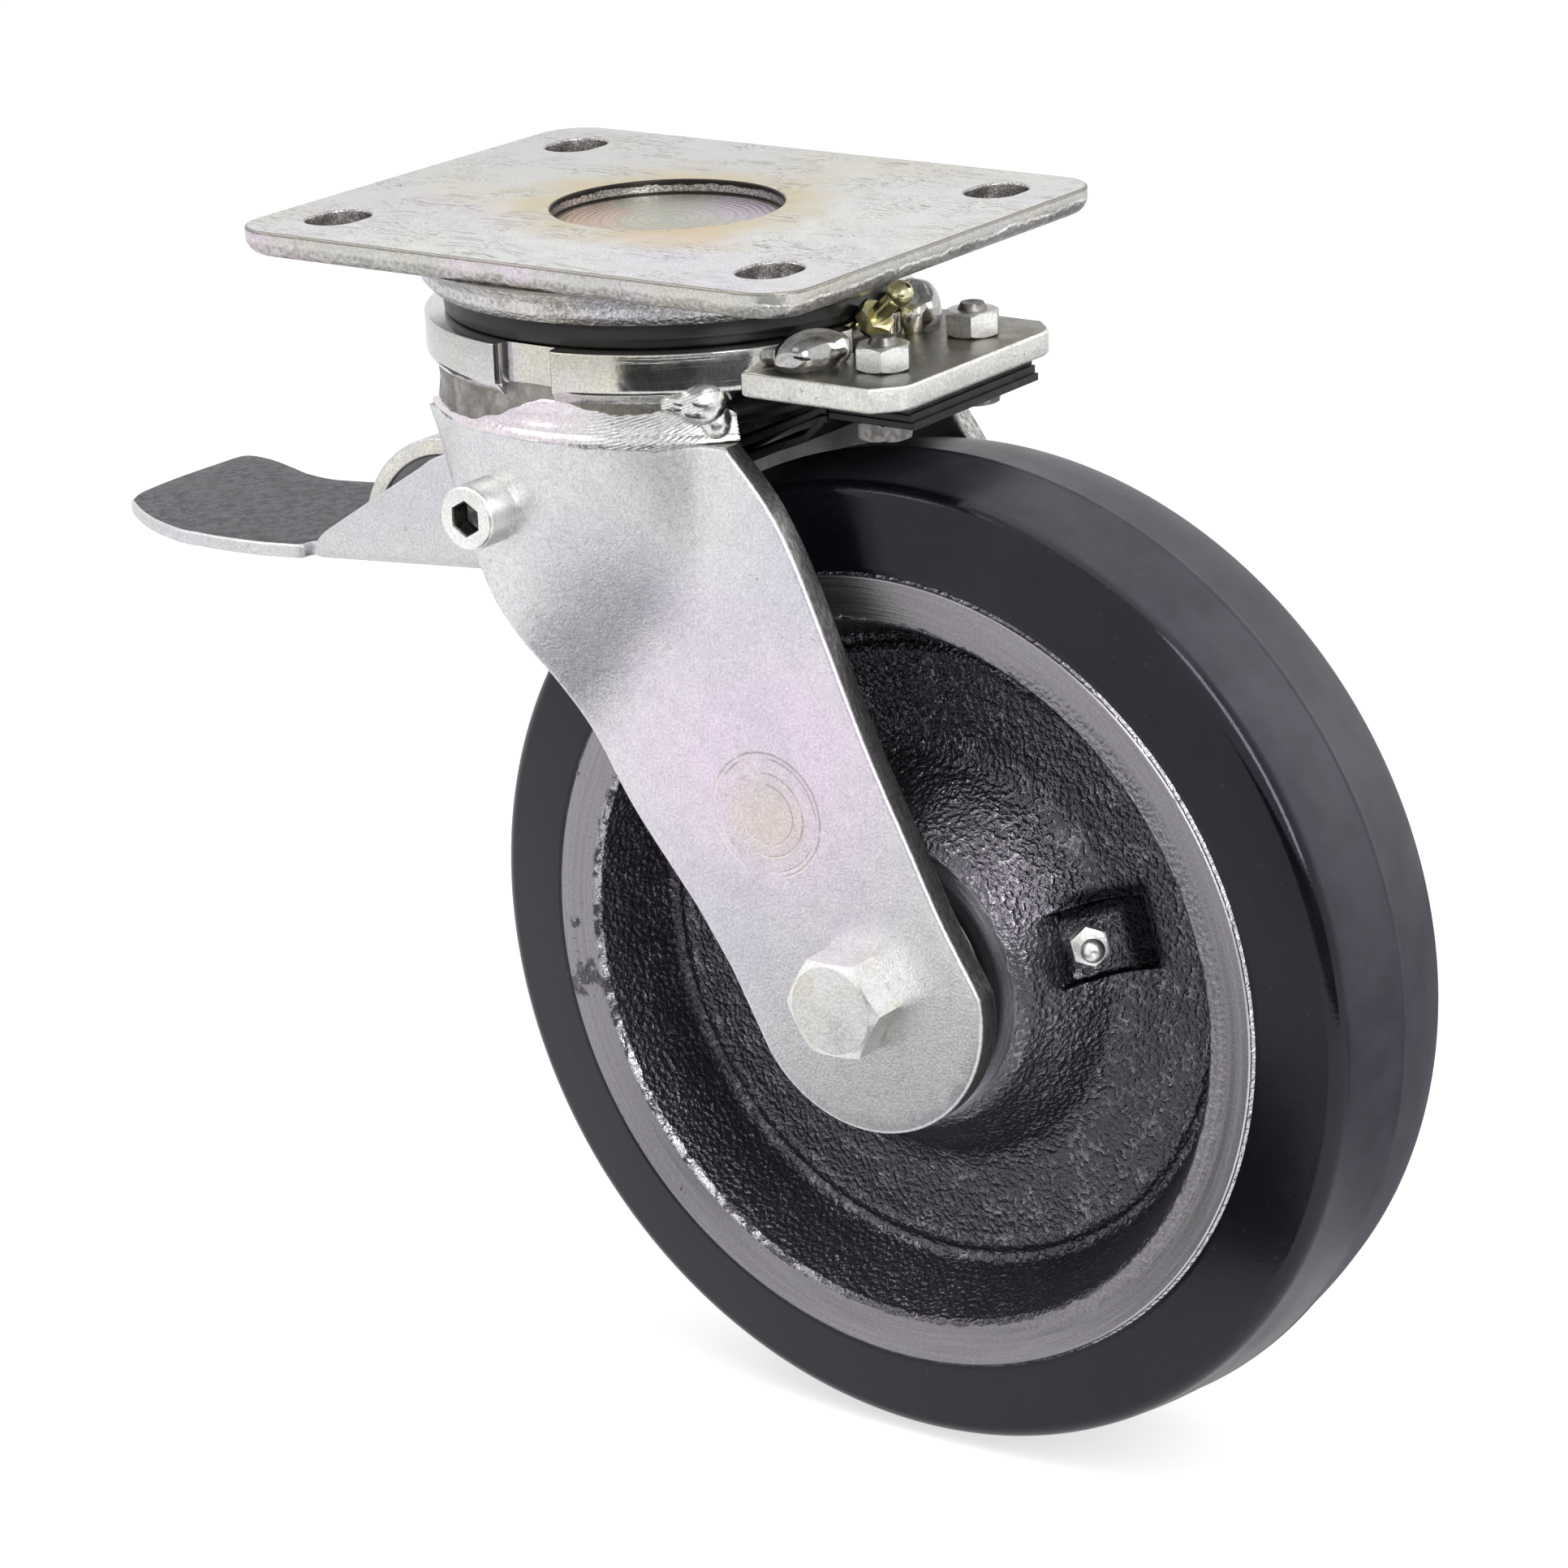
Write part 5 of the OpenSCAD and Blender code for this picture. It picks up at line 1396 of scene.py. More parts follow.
    def lump(self, deg, r, z, radii, seed):
        """Blob of weld metal on the neck, with its radii outwards, round the neck and upwards."""
        ball = bmesh.new()
        bmesh.ops.create_icosphere(ball, subdivisions=4, radius=1.0)
        turn = Matrix.Rotation(math.radians(deg), 3, "Z")
        verts = []
        for v in ball.verts:
            bulge = 1 + 0.08 * noise.noise(v.co * 1.6 + Vector((seed * 3 + z, 2, 5)))
            q = turn @ Vector((r + v.co.x * radii[0] * bulge, v.co.y * radii[1] * bulge, 0))
            verts.append((q.x, q.y, z + v.co.z * radii[2] * bulge))
        faces = [tuple(v.index for v in f.verts) for f in ball.faces]
        ball.free()
        return verts, faces, [0] * len(faces)


class CASTOR_OT_bracket(CastorOperator, bpy.types.Operator):
    """Sheared bracket plate behind the head with its two clamp bolts and nuts"""
    bl_idname = "castor.bracket"
    bl_label = "Bracket"

    def execute(self, context):
        half, end, top, low = BRACKET_HIGH.x, BRACKET_HIGH.y, BRACKET_HIGH.z, BRACKET_LOW.z
        lead = math.asin(half / (FLANGE_R + 0.1))
        front = circle((0, 0), FLANGE_R + 0.1, 30, math.pi / 2 + lead, math.pi / 2 - lead)
        corners = fillet([(half, end - 5.5), (half - 5.5, end), (5.5 - half, end), (-half, end - 5.5)],
                         [5, 5, 7, 7], 6, False)
        bolts = [hole(circle((x, 61.5), 3.3, 32)) for x in (-15.5, 15.5)]
        plate = flat_slab([np.vstack([front, corners])] + bolts, top, low, [(0.5, 0.9), (0.2, 0.2), (0.2, 0.2)],
                          (0, 1, 0), 4)
        piece("bracket_plate", [plate], "fork", ["spring_bracket"], [bracket_zinc(), bracket_edge()], 35)
        turns = hex_turns()
        pitch = MM * sizes().thread_pitch
        row = {"Count": 2, "First": (-0.0155, 0.0615, 0), "Step": (0.031, 0, 0), "Material": bolt_zinc()}
        nut = pattern("clamp_nut", [spin(lambda a: hex_profile(a, 10, top, top + 5, 2.6, True), turns, on_swivel)])
        grown("clamp_nut_pair", copies_tree(), {**row, "Fastener": nut}, "fork", ["clamp_nuts"])
        bpy.data.objects.remove(nut)
        head_z = node_span("clamp_bolts")[0].z
        tip = node_span("clamp_bolts")[1].z
        shank = [(0, head_z + 3)]
        count = int((tip - 0.6 - head_z - 4) / (pitch / 2))
        shank += [(2.95 if k % 2 else 2.55, head_z + 4 + k * pitch / 2) for k in range(count)]
        shank += [(2.3, tip - 0.05), (1.4, tip), (0.5, tip - 0.25), (0, tip - 0.3)]
        bolt = pattern("clamp_bolt",
                       [spin(lambda a: hex_profile(a, 10, head_z, head_z + 4, 0.0, True), turns, on_swivel),
                                      lathe(shank, on_swivel, 40)])
        grown("clamp_bolt_pair", copies_tree(), {**row, "Fastener": bolt, "Material": thread_steel_and_socket_shade()}, "fork",
              ["clamp_bolts"])
        bpy.data.objects.remove(bolt)
        return {"FINISHED"}


def strip(path, thick):
    """Outline of a strip whose top edge is the path."""
    p = np.asarray(path, float)
    run = np.gradient(p, axis=0)
    run /= np.hypot(run[:, 0], run[:, 1])[:, None]
    low = p - thick * np.c_[run[:, 1], -run[:, 0]]
    return np.vstack([p, low[::-1]])


class CASTOR_OT_leaves(CastorOperator, bpy.types.Operator):
    """Clamped pack and the three free leaves of the brake spring"""
    bl_idname = "castor.leaves"
    bl_label = "Leaf springs"

    def execute(self, context):
        steel = [leaf_steel()]
        lip = [(0.35, 0.35)]
        low = node_span("spring_pack")[0].z
        pack = []
        for k in range(3):
            back, under = 72.4 - 0.7 * k, low + 1.5 * k
            ends = np.array([(52.7, under), (back, under), (back, under + 1.46), (52.7, under + 1.46)])
            pack.append(side_slab([ends], 22, -22, lip))
        piece("clamped_leaves", pack, "fork", ["spring_pack"], steel, 40)
        arms = (("lock_arm", "upper_leaf", "lock_leaf",
                 [(52.2, -28.4), (49, -28.75), (44, -30.6), (31.7, -34.4), (12, -40.2), (0, -43.0), (-7, -44.0)]),
                ("brake_arm_middle", "middle_leaf", "brake_leaf",
                 [(52.2, -30.2), (50.6, -30.25), (48.4, -31.5), (33.7, -38.3), (20, -43.6), (4, -52.9),
                                                                   (-2, -57.4), (-20, -57.9), (-28, -59)]),
                ("brake_arm_lower", "lower_leaf", "brake_leaf",
                 [(52.2, -31.85), (50.9, -32.1), (49.2, -34.0), (46.6, -36.4), (36.4, -40.5), (26, -45.4),
                                                                 (15, -49.6), (4, -55.0), (-3, -60.0),
                  (-28, -61.5)]))
        for name, node, body, path in arms:
            curve = resample(fillet(path, 3.0, 5, False), 2.7, False)
            piece(name, [side_slab([strip(curve, 1.5)], 22, -22, lip)], body, [node], steel, 40)
        return {"FINISHED"}


class CASTOR_OT_pedal(CastorOperator, bpy.types.Operator):
    """Bent pedal: foot plate, two wings with rolled lower edges and the release arch"""
    bl_idname = "castor.pedal"
    bl_label = "Pedal"

    def execute(self, context):
        lip = MM * sizes().pedal_lip
        near = [(24.6, -70), (24.8, -76.4), (28.1, -77.9), (29.0, -82.4), (29.8, -89), (29.6, -99.7),
                (28.9, -106.1), (28.0, -112.2),
                (24.5, -121.2), (21.6, -126.8), (17.8, -132.8), (13.6, -138.4)]
        far = [(12.2, -139.9), (8.0, -142.0), (3.6, -143.0), (-3.9, -143.7), (-11.8, -143.9), (-19.9, -143.7),
               (-26.4, -143.5), (-28.6, -142.2),
               (-29.0, -139.4), (-28.0, -134.6), (-26.4, -130.2), (-23.7, -124.1), (-20.4, -116.8),
               (-18.6, -109.1), (-19.0, -103.0),
               (-20.6, -95.0), (-24.4, -84), (-25, -70)]
        edge = np.vstack([spline(far[::-1], 5), spline(near[::-1], 5)])
        foot = edge if shoelace(edge) > 0 else edge[::-1]

        def deck(drop):
            slope, sag = math.tan(math.radians(2)), 0.00006
            return lambda q: np.c_[q, -73.6 - drop + (q[:, 1] + 77) * slope - sag * np.maximum(-100 - q[:, 1],
                                                                                               0) ** 2]
        parts = [slab([resample(foot, 2.5)], deck(0), deck(3), 3, [(lip, lip)], 3, 4.0, (0, 1, 1))]
        arch_y, arch_z = -43.7, -72.1
        outer = circle((arch_y, arch_z), 23.4, 60, math.radians(78), math.radians(184))
        inner = circle((arch_y, arch_z), 19.5, 60, math.radians(184), math.radians(78))
        parts.append(side_slab([np.vstack([outer, inner])], 20, -20, [(lip, lip)], (2, 1, 1)))
        radius = 4.0

        def foot_line(y):
            return -76.9 + (y + 75.5) * 0.081

        def rise(points):
            return [(y, z - foot_line(y) - radius) for y, z in points]
        for side in (1, -1):
            def wall(depth, side=side):
                def at(q):
                    y, v = q[:, 0], q[:, 1]
                    foot_z = foot_line(y)
                    turn = np.clip(-v / radius, 0, math.pi / 2)
                    flat = np.maximum(-v - radius * math.pi / 2, 0)
                    x = 28 - radius * (1 - np.cos(turn)) - flat - depth * np.cos(turn)
                    z = foot_z + radius * (1 - np.sin(turn)) + np.maximum(v, 0) + depth * np.sin(turn)
                    return np.c_[side * x, y, z]
                return at
            top = rise([(-74.6, -73.4), (-72.5, -70.9), (-69.8, -68.9), (-57.8, -61.2), (-46.3, -53.9),
                        (-38.9, -49.6), (-20, -43.6), (-10, -42.8)])
            rim = np.array(rise(circle((PIVOT_Y, PIVOT_Z), 9.2, 24, math.radians(80), math.radians(-70))))
            low = rise([(-9, -67.9)]) + [(-27.5, 0), (-30, -6.0), (-32, -9.5)]
            outline = np.vstack([np.array([(-75.4, -9.5), (-75.3, -2.6)]), spline(top, 5), rim, np.array(low)])
            outline = resample(outline if shoelace(outline) > 0 else outline[::-1], 1.6)
            pin = hole(np.array(rise(circle((PIVOT_Y, PIVOT_Z), 3.05, 32))))
            # The wing's inner face takes the zinc painted dark as painted shade.
            parts.append(slab([outline, pin], wall(0), wall(3), 3, [(lip, lip), (0.1, 0.1)], 3, 2.4, (1, 1, 3)))
        # The faces round the arch's axis take the zinc painted dark as painted shade.
        for part in parts[:2]:
            remark(part, 3, lambda mark, at: mark < 2 and math.hypot(at[1] - arch_y, at[2] - arch_z) < 20.5)
        piece("foot_pedal", parts, "pedal", ["pedal"],
              [pedal_grey(), wing_zinc(), bracket_edge(), shaded_inner_zinc()], 40)
        return {"FINISHED"}


class CASTOR_OT_pivot_screws(CastorOperator, bpy.types.Operator):
    """Socket head screws that carry the pedal"""
    bl_idname = "castor.pivot_screws"
    bl_label = "Pivot screws"

    def execute(self, context):
        tip = node_span("pivot_screws")[1].x
        seat = tip - 9.5
        crown = fillet([(4, seat), (6.5, seat), (6.5, tip), (4.6, tip), (3.8, tip)], [0, 0.3, 0.9, 0.3, 0], 4,
                       False).tolist()

        def section(a):
            r = hex_radius(a, 6)
            return crown + [(r + 0.25, tip), (r, tip - 0.35), (r, tip - 4.5), (0, tip - 5.6), (0, 10), (3, 10),
                            (3, 28.3), (4, 28.3)]

        parts = []
        for side in (1, -1):
            def place(r, h, a, side=side):
                return side * h, PIVOT_Y + r * math.cos(a), PIVOT_Z + r * math.sin(a)
            screw = spin(section, hex_turns(), place)
            # The hex socket takes the dark thread steel, as painted shade.
            remark(screw, 1, lambda mark, at: math.hypot(at[1] - PIVOT_Y, at[2] - PIVOT_Z) < 3.6
                   and 28.3 < abs(at[0]) < tip - 0.1)
            parts.append(screw)
        piece("pivot_screw_pair", parts, "fork", ["pivot_screws"], [bolt_zinc(), thread_steel_and_socket_shade()], 30)
        return {"FINISHED"}


class CASTOR_OT_axle(CastorOperator, bpy.types.Operator):
    """Axle bolt with its nut and collars"""
    bl_idname = "castor.axle"
    bl_label = "Axle"

    def execute(self, context):
        face = node_span("axle_bolt")[1].x
        tail = node_span("axle_bolt")[0].x
        seat = face - 7.5
        turns = hex_turns(14)

        def tilted(r, h, a):
            return on_axle(r, h, a + math.radians(32))

        head = spin(lambda a: hex_profile(a, 19, seat, face), turns, tilted)
        ring = fillet([(8.0, seat - 0.2), (9.3, seat - 0.2), (9.3, seat + 0.3), (8.0, seat + 0.3)], 0.1,
                      2).tolist()
        shank = [(0, seat - 1)] + [(6, seat - 1), (6, -LEG_OUT)]
        shank += [(5.9 if k % 2 else 5.3, -LEG_OUT - 0.9 * k) for k in range(1, int((-38.4 - tail) / 0.9))]
        shank += [(5.2, tail + 0.7), (4.4, tail), (0, tail)]
        piece("axle_bolt_dressed", [head, lathe(ring, tilted, 48), lathe(shank, on_axle, 48)], "fork",
              ["axle_bolt"],
              [bolt_zinc()], 26)
        low, high = node_span("axle_nut")
        nut = spin(lambda a: hex_profile(a, 19, low.x, high.x, 5.6, True), turns, tilted)
        piece("axle_nut_dressed", [nut], "fork", ["axle_nut"], [bolt_zinc()], 26)
        low, high = node_span("axle_collars")
        parts = []
        for side in (1, -1):
            collar = fillet([(10, side * 25.5), (13, side * 25.5), (13, side * high.x), (10, side * high.x)],
                            [0, 0.4, 0.2, 0], 3).tolist()
            parts.append(lathe(collar, on_axle, 64))
        piece("axle_collar_pair", parts, "fork", ["axle_collars"], [ground_steel()], 35)
        return {"FINISHED"}


def in_pocket(along, out, off):
    """Point in the frame of the grease nipple's pocket, which leans out from the hub."""
    lean, turn = POCKET_LEAN, POCKET_TURN
    x = 9.15 + along * math.cos(lean) - out * math.sin(lean)
    r = 37.9 + along * math.sin(lean) + out * math.cos(lean)
    return (x, AXLE_Y + r * math.cos(turn) - off * math.sin(turn),
            AXLE_Z + r * math.sin(turn) + off * math.cos(turn))


class CASTOR_OT_wheel_core(CastorOperator, bpy.types.Operator):
    """Cast core with a turned band on its rim and a pocket for the grease nipple"""
    bl_idname = "castor.wheel_core"
    bl_label = "Wheel core"

    def execute(self, context):
        half = RIM_W / 2
        side = [(23.5, 25.5), (27, 25.5), (29.9, 24.5), (31.9, 22.5), (34, 19), (39.5, 11.5), (42, 8.3), (46, 6.5),
                (60.6, 6.3),
                (62.8, 7.0), (64.4, 5.4), (66.2, 6.6), (67.5, 10), (72.1, half - 1.1), (73, half), (81.3, half),
                (82.2, half - 0.9)]
        radii = [0, 3, 3, 4, 8, 8, 5, 8, 4, 1.4, 2.2, 3, 6, 0.8, 0.4, 0.2, 0]
        near = fillet(side, radii, 4, False)
        far = near[::-1] * np.array([1, -1])
        bore = [(23.5, -11.5), (21, -11.5), (21, 11.5), (23.5, 11.5)]
        profile = near.tolist() + far.tolist() + bore
        solid = lathe(profile, on_axle, 256)
        box = fillet([(0, -4), (5.6, -10.2), (18, -16), (24, 0), (3.2, 14.4), (0, 6)], [3, 3, 0, 0, 2.2, 2], 5)

        def wall(off):
            return lambda q: np.array([in_pocket(along, out, off) for along, out in q])
        cutter = slab([box], wall(7.5), wall(-7.5), 15, [(1.4, 1.4)], 4)
        mesh = carved("core", solid, cutter, 38)
        mesh.materials.clear()
        mesh.materials.append(black_casting())
        mesh.polygons.foreach_set("material_index", [0] * len(mesh.polygons))
        obj = bpy.data.objects.new("cast_core", mesh)
        bpy.context.scene.collection.objects.link(obj)
        settle(obj, "wheel", ["wheel_core"])
        return {"FINISHED"}


class CASTOR_OT_tread(CastorOperator, bpy.types.Operator):
    """Moulded rubber tyre with round shoulders and a mould line"""
    bl_idname = "castor.tread"
    bl_label = "Tread"

    def execute(self, context):
        s = sizes()
        half, line = RIM_W / 2 - 1.0, MM * s.mould_line
        round_r = MM * s.shoulder
        side = [(82.2, half), (83.1, half), (SHOULDER_R, 19.65), (100.4, 11), (101.42, 0.8), (101.42 + line, 0.35)]
        upper = fillet(side, [0, 0.5, round_r, 60, 0.4, 0.1], 10, False)
        profile = upper.tolist() + (upper[::-1] * np.array([1, -1])).tolist()
        piece("tyre", [lathe(profile, on_axle, 320)], "wheel", ["tread"], [tread_rubber()], 50)
        return {"FINISHED"}


class CASTOR_OT_wheel_bearings(CastorOperator, bpy.types.Operator):
    """Bearing rings, seals and the rows of balls"""
    bl_idname = "castor.wheel_bearings"
    bl_label = "Bearings"

    def execute(self, context):
        outer, seals = [], []
        for side in (1, -1):
            ring = fillet([(20, side * 11.5), (23.5, side * 11.5), (23.5, side * 25.5), (20, side * 25.5)],
                          [0.2, 0.6, 1.0, 0.5], 5).tolist()
            outer.append(lathe(ring, on_axle, 128))
            disc = fillet([(14.3, side * 24.3), (20, side * 24.3), (20, side * 25.1), (18.4, side * 25.1),
                           (17.8, side * 24.8), (15.4, side * 24.8),
                           (14.8, side * 25.2), (14.3, side * 25.2)], 0.15, 3).tolist()
            seals.append(lathe(disc, on_axle, 96))
        piece("outer_rings", outer, "wheel", ["bearing_outer_rings"], [ground_steel()], 35)
        piece("seal_discs", seals, "wheel", ["bearing_seals"], [lip_rubber()], 35)
        tree = ball_rows_tree()
        steel = ground_steel()
        upright, lying = (0, 0, 0), (0, math.pi / 2, 0)
        grown("thrust_ball_ring", tree,
              {"Balls": 24, "Pitch radius": 0.036, "Ball radius": 0.00398, "Rows": 1, "Row gap": 0.0,
               "Axis turn": upright,
                                         "Middle": (0, 0, -0.01585), "Material": steel}, "fork",
              ["thrust_balls"])
        grown("lower_ball_ring", tree,
              {"Balls": 12, "Pitch radius": 0.016, "Ball radius": 0.00318, "Rows": 1, "Row gap": 0.0,
               "Axis turn": upright,
                                        "Middle": (0, 0, -0.026), "Material": steel}, "fork",
              ["lower_balls"])
        grown("wheel_ball_rings", tree,
              {"Balls": 9, "Pitch radius": 0.01675, "Ball radius": 0.00348, "Rows": 2, "Row gap": 0.037,
               "Axis turn": lying,
                                         "Middle": (0, AXLE_Y / MM, AXLE_Z / MM), "Material": steel}, "wheel",
              ["bearing_balls"])
        return {"FINISHED"}


class CASTOR_OT_nipples(CastorOperator, bpy.types.Operator):
    """Grease nipples of the swivel and of the hub"""
    bl_idname = "castor.nipples"
    bl_label = "Grease nipples"

    def execute(self, context):
        turns = hex_turns()

        def shaped(foot, hex_low, hex_high, af, stem, ball_h, ball_r):
            tip = [(ball_r * math.cos(t), ball_h + ball_r * math.sin(t)) for t in np.linspace(-0.75, 1.2, 9)]
            tail = [(stem, hex_high),
                    (stem * 0.9, ball_h - ball_r * 0.75)] + tip + [(0.55, ball_h + ball_r * 0.97),
                                                                   (0.45, ball_h + ball_r * 0.6),
                                                                   (0, ball_h + ball_r * 0.6)]

            def section(a):
                r, flat = hex_radius(a, af), 0.47 * af
                drop = (r - flat) * 0.5
                return [(0, foot), (af * 0.37, foot), (af * 0.37, hex_low), (flat, hex_low), (r, hex_low + drop),
                        (r, hex_high - drop), (flat, hex_high)] + tail
            return section
        cos, sin = math.cos(math.radians(48)), math.sin(math.radians(48))
        y0, z0 = FLANGE_R - 3.6, -20.9

        def on_head(r, h, a):
            u, v = r * math.cos(a), r * math.sin(a)
            return u, y0 + h * sin + v * cos, z0 + h * cos - v * sin
        piece("swivel_grease_nipple", [spin(shaped(1.6, 2.9, 5.9, 7, 2.0, 12.8, 2.6), turns, on_head)], "fork",
              ["swivel_nipple"],
              [yellow_plate()], 30)

        def on_core(r, h, a):
            return in_pocket(h, r * math.cos(a), r * math.sin(a))
        piece("hub_grease_nipple", [spin(shaped(0, 3, 7, 7, 2.0, 10.5, 2.4), turns, on_core)], "wheel",
              ["hub_nipple"],
              [bolt_zinc()], 30)
        return {"FINISHED"}


class CASTOR_OT_inner_finishes(CastorOperator, bpy.types.Operator):
    """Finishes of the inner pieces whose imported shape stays"""
    bl_idname = "castor.inner_finishes"
    bl_label = "Inner finishes"

    def execute(self, context):
        finish = {"kingpin_nut": bolt_zinc(), "lower_cone": ground_steel(), "lower_cup": ground_steel(),
                  "pivot_bushes": ground_steel(),
                  "axle_sleeve": ground_steel(), "bearing_inner_rings": ground_steel(), "cam_bar": ground_steel(),
                  "lock_pad": ground_steel()}
        for name, material in finish.items():
            mesh = frame["nodes"][name].data
            mesh.materials.clear()
            mesh.materials.append(material)
        return {"FINISHED"}


class CASTOR_OT_stage(CastorOperator, bpy.types.Operator):
    """Camera, soft lamps, white world and a pale floor"""
    bl_idname = "castor.stage"
    bl_label = "Stage"

    def execute(self, context):
        scene = context.scene
        scene.view_settings.view_transform = "Standard"
        self.camera(scene)
        self.world(scene)
        self.floor(scene)
        # Dark cards on the floor stand in for the castor's shadow there, as painted shadow that only reflections
        # see.
        self.card(scene, "dark_card", (0.10, -0.08), (0.265, 0.15))
        self.card(scene, "dark_card_rear", (-0.80, 0.0), (-0.06, 0.55), 0.42)
        self.flag(scene, "dark_flag_front", 29, 17.0, 0.55, 0.205)
        self.flag(scene, "dark_flag_next", 58, 13.0, 0.58, 0.205, 0.12)
        for name, at, aim, size, power, tint in (
                ("key_lamp", (0.55, -0.75, 1.05), (0, 0.03, -0.09), (0.9, 0.7), 4.2, (1, 0.995, 0.985)),
                ("fill_lamp", (0.62, 1.15, 0.78), (0, 0.06, -0.12), (0.36, 1.3), 9.5, (0.99, 0.99, 1)),
                ("top_lamp", (-0.15, 0.25, 1.25), (0, 0.03, -0.09), (1.1, 1.1), 3.0, (1, 1, 1)),
                ("rim_lamp", (-0.85, 0.75, 0.45), (0, 0.06, -0.12), (0.6, 0.9), 1.8, (1, 1, 1))):
            lamp = bpy.data.lights.new(name, "AREA")
            lamp.shape = "RECTANGLE"
            lamp.size, lamp.size_y = size
            lamp.energy = power
            lamp.color = tint
            obj = bpy.data.objects.new(name, lamp)
            scene.collection.objects.link(obj)
            obj.location = at
            obj.rotation_euler = (Vector(aim) - Vector(at)).to_track_quat("-Z", "Y").to_euler()
        return {"FINISHED"}

    def flag(self, scene, name, turn, half_angle, reach, height, tone=0.05):
        """Dark card that stands on the floor and that only reflections see."""
        wide = reach * math.tan(math.radians(half_angle))
        aim = Matrix.Rotation(math.radians(turn), 3, "Z")
        corners = [aim @ Vector((reach, y, z)) for y,
                   z in ((-wide, FLOOR_Z), (wide, FLOOR_Z), (wide, FLOOR_Z + height), (-wide, FLOOR_Z + height))]
        self.shade(scene, name, corners, tone)

    def card(self, scene, name, low, high, tone=0.05):
        """Dark card that lies on the floor and that only reflections see, as a painted shadow of the castor there.
        """
        corners = [(x, y, FLOOR_Z + 0.001) for x,
                   y in ((low[0], low[1]), (high[0], low[1]), (high[0], high[1]), (low[0], high[1]))]
        self.shade(scene, name, corners, tone)

    def shade(self, scene, name, corners, tone=0.05):
        """Card of one tone that only reflections see."""
        mesh = bpy.data.meshes.new(name)
        mesh.from_pydata(corners, [], [(0, 1, 2, 3)])
        cloth = bpy.data.materials.new(name + "_cloth")
        cloth.use_nodes = True
        sockets = cloth.node_tree.nodes["Principled BSDF"].inputs
        sockets["Base Color"].default_value = (tone, tone, tone * 1.1, 1)
        sockets["Roughness"].default_value = 0.9
        mesh.materials.append(cloth)
        obj = bpy.data.objects.new(name, mesh)
        scene.collection.objects.link(obj)
        for kind in ("camera", "diffuse", "transmission", "volume_scatter", "shadow"):
            setattr(obj, "visible_" + kind, False)

    def camera(self, scene):
        az, el, roll = (math.radians(v) for v in (35.97, 18.76, -2.26))
        back = Vector((math.sin(az) * math.cos(el), -math.cos(az) * math.cos(el), math.sin(el)))
        right = Vector((math.cos(az), math.sin(az), 0))
        up = back.cross(right)
        rolled = (math.cos(roll) * right + math.sin(roll) * up, math.cos(roll) * up - math.sin(roll) * right, back)
        axes = [Vector((-v.y, v.x, v.z)) for v in rolled]
        lens = bpy.data.cameras.new("camera")
        lens.sensor_width = 36.0
        lens.lens = 6163.9 / 1932 * 36.0
        lens.clip_start, lens.clip_end = 0.05, 50
        obj = bpy.data.objects.new("camera", lens)
        scene.collection.objects.link(obj)
        turn = Matrix((axes[0], axes[1], axes[2])).transposed().to_4x4()
        obj.matrix_world = Matrix.Translation((0.77885, 0.58818, 0.20916)) @ turn
        scene.camera = obj

    def world(self, scene):
        world = bpy.data.worlds.new("white_room")
        world.use_nodes = True
        scene.world = world
        tree = world.node_tree
        g = Graph(tree)
        out = tree.nodes["World Output"]
        plain = tree.nodes["Background"]
        plain.inputs["Color"].default_value = (0.96, 0.97, 1.0, 1)
        plain.inputs["Strength"].default_value = 0.36
        white = g.add("ShaderNodeBackground", {"Color": (1, 1, 1, 1), "Strength": 1.0})
        rays = g.add("ShaderNodeLightPath").outputs
        seen = g.most(rays["Is Camera Ray"], g.most(rays["Is Glossy Ray"], rays["Is Transmission Ray"]))
        both = g.add("ShaderNodeMixShader", {0: seen, 1: plain.outputs[0], 2: white.outputs[0]})
        tree.links.new(both.outputs[0], out.inputs["Surface"])

    def floor(self, scene):
        mesh = bpy.data.meshes.new("floor")
        mesh.from_pydata([(-6, -6, FLOOR_Z), (6, -6, FLOOR_Z), (6, 6, FLOOR_Z), (-6, 6, FLOOR_Z)], [],
                         [(0, 1, 2, 3)])
        obj = bpy.data.objects.new("floor", mesh)
        scene.collection.objects.link(obj)
        paper = bpy.data.materials.new("floor_paper")
        paper.use_nodes = True
        g = Graph(paper.node_tree)
        shader = paper.node_tree.nodes["Principled BSDF"]
        shader.inputs["Base Color"].default_value = (0.80, 0.80, 0.80, 1)
        shader.inputs["Roughness"].default_value = 0.9
        rays = g.add("ShaderNodeLightPath").outputs
        mirrored = g.most(rays["Is Glossy Ray"], rays["Is Transmission Ray"])
        strength = g.plus(g.times(rays["Is Camera Ray"], 0.66), g.times(mirrored, 0.45))
        glow = g.add("ShaderNodeEmission", {"Color": (1, 1, 1, 1), "Strength": strength})
        both = g.add("ShaderNodeAddShader", {0: shader.outputs[0], 1: glow.outputs[0]})
        g.tree.links.new(both.outputs[0], paper.node_tree.nodes["Material Output"].inputs["Surface"])
        mesh.materials.append(paper)


class CASTOR_PT_panel(bpy.types.Panel):
    """Lists the steps that dress the castor"""
    bl_idname = "CASTOR_PT_panel"
    bl_label = "Castor"
    bl_space_type = "VIEW_3D"
    bl_region_type = "UI"
    bl_category = "Castor"

    def draw(self, context):
        for operator in OPERATORS:
            self.layout.operator(operator.bl_idname)
        for group in (context.scene.castor_sizes, context.scene.castor_colours):
            box = self.layout.box()
            for key in group.__annotations__:
                box.prop(group, key)


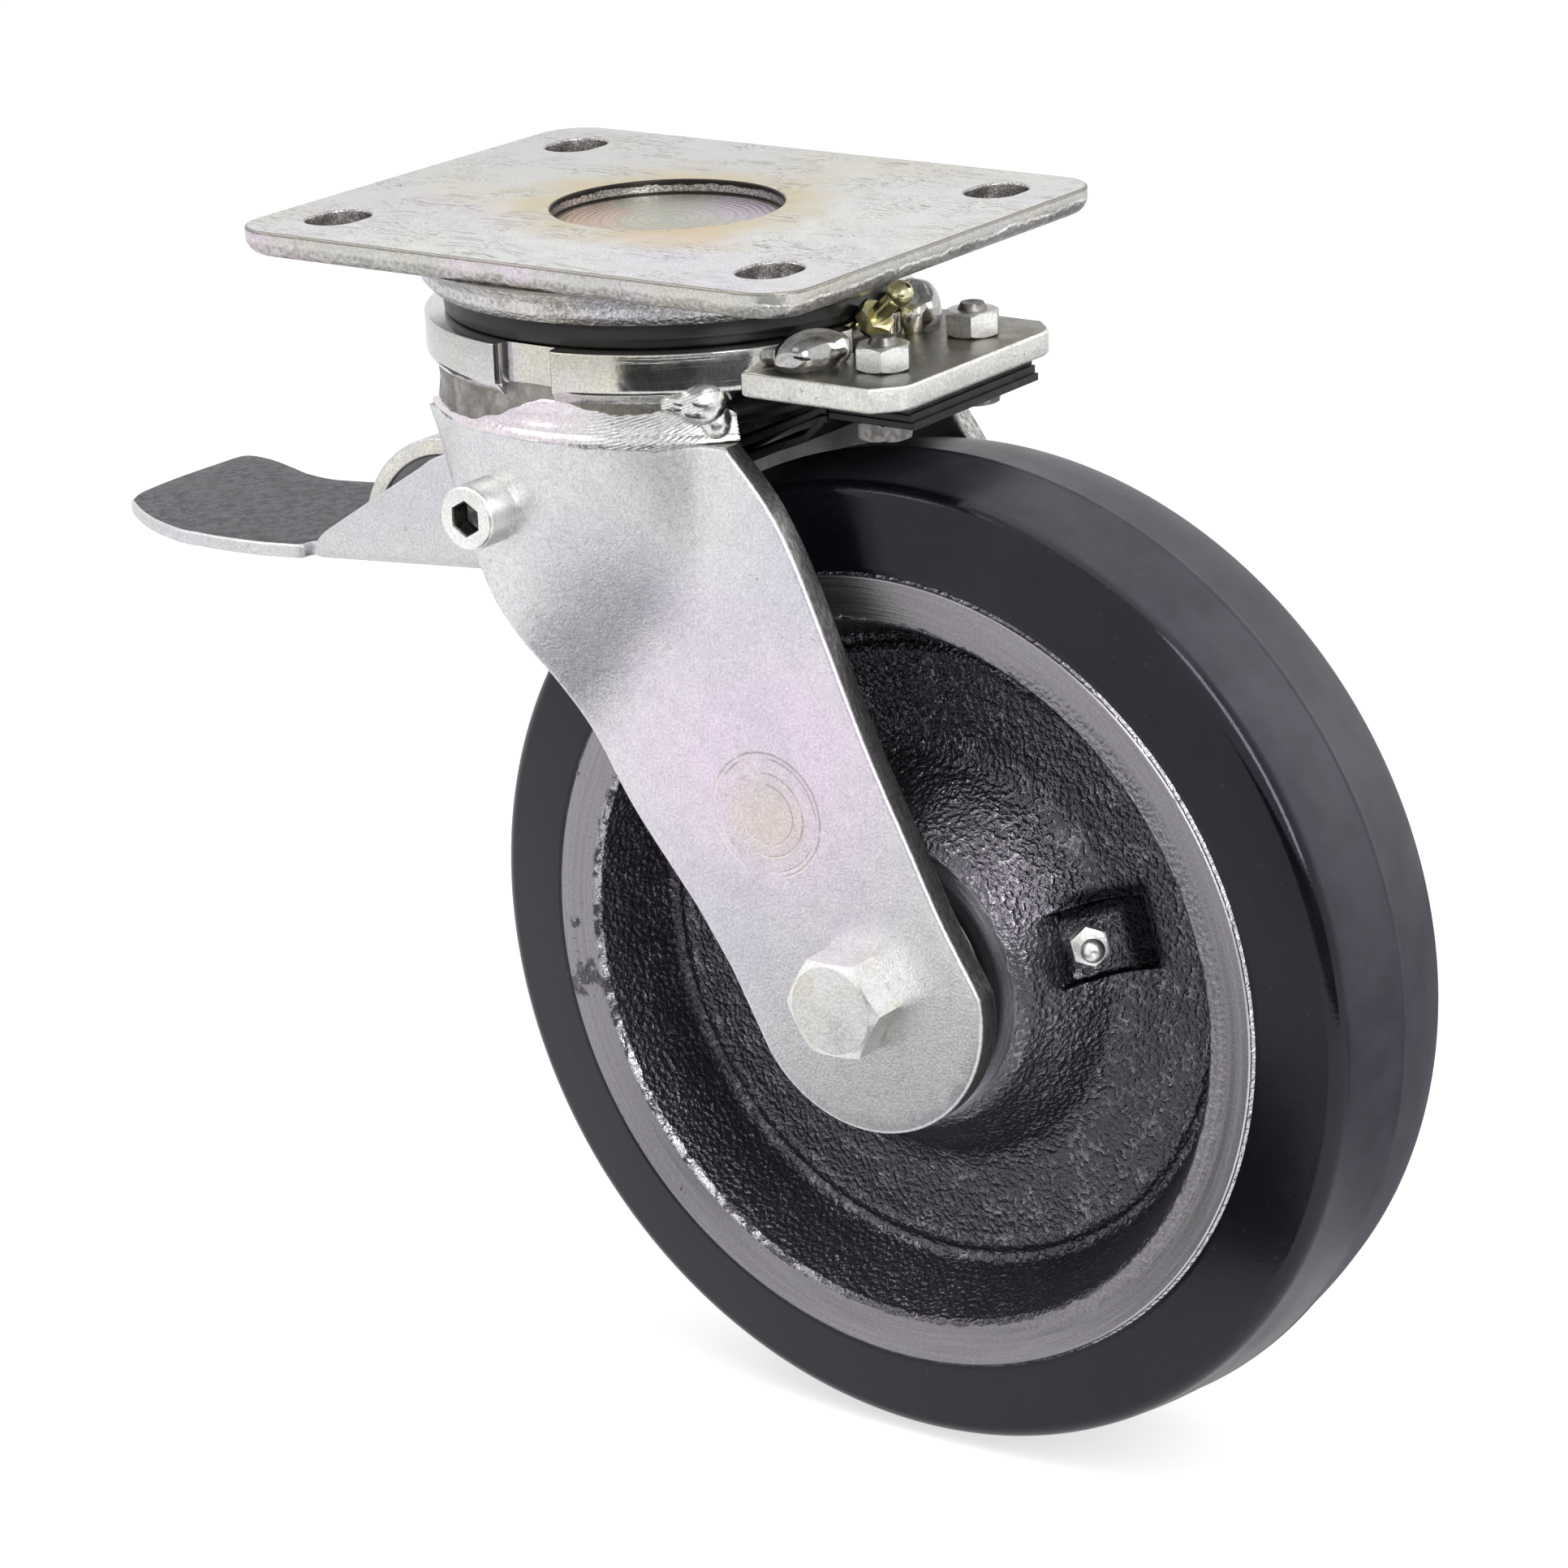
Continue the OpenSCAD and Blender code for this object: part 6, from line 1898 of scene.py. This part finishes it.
OPERATORS = (CASTOR_OT_top_plate, CASTOR_OT_swivel_head, CASTOR_OT_legs, CASTOR_OT_welds, CASTOR_OT_bracket,
             CASTOR_OT_leaves,
             CASTOR_OT_pedal, CASTOR_OT_pivot_screws, CASTOR_OT_axle, CASTOR_OT_wheel_core, CASTOR_OT_tread,
             CASTOR_OT_wheel_bearings,
             CASTOR_OT_nipples, CASTOR_OT_inner_finishes, CASTOR_OT_stage)
CLASSES = (CastorSizes, CastorColours) + OPERATORS + (CASTOR_PT_panel,)


def register():
    for cls in CLASSES:
        bpy.utils.register_class(cls)
    bpy.types.Scene.castor_sizes = PointerProperty(type=CastorSizes)
    bpy.types.Scene.castor_colours = PointerProperty(type=CastorColours)


def unregister():
    del bpy.types.Scene.castor_sizes
    del bpy.types.Scene.castor_colours
    for cls in reversed(CLASSES):
        bpy.utils.unregister_class(cls)


def main():
    register()
    for operator in OPERATORS:
        category, name = operator.bl_idname.split(".")
        getattr(getattr(bpy.ops, category), name)()


if __name__ == "__main__":
    main()
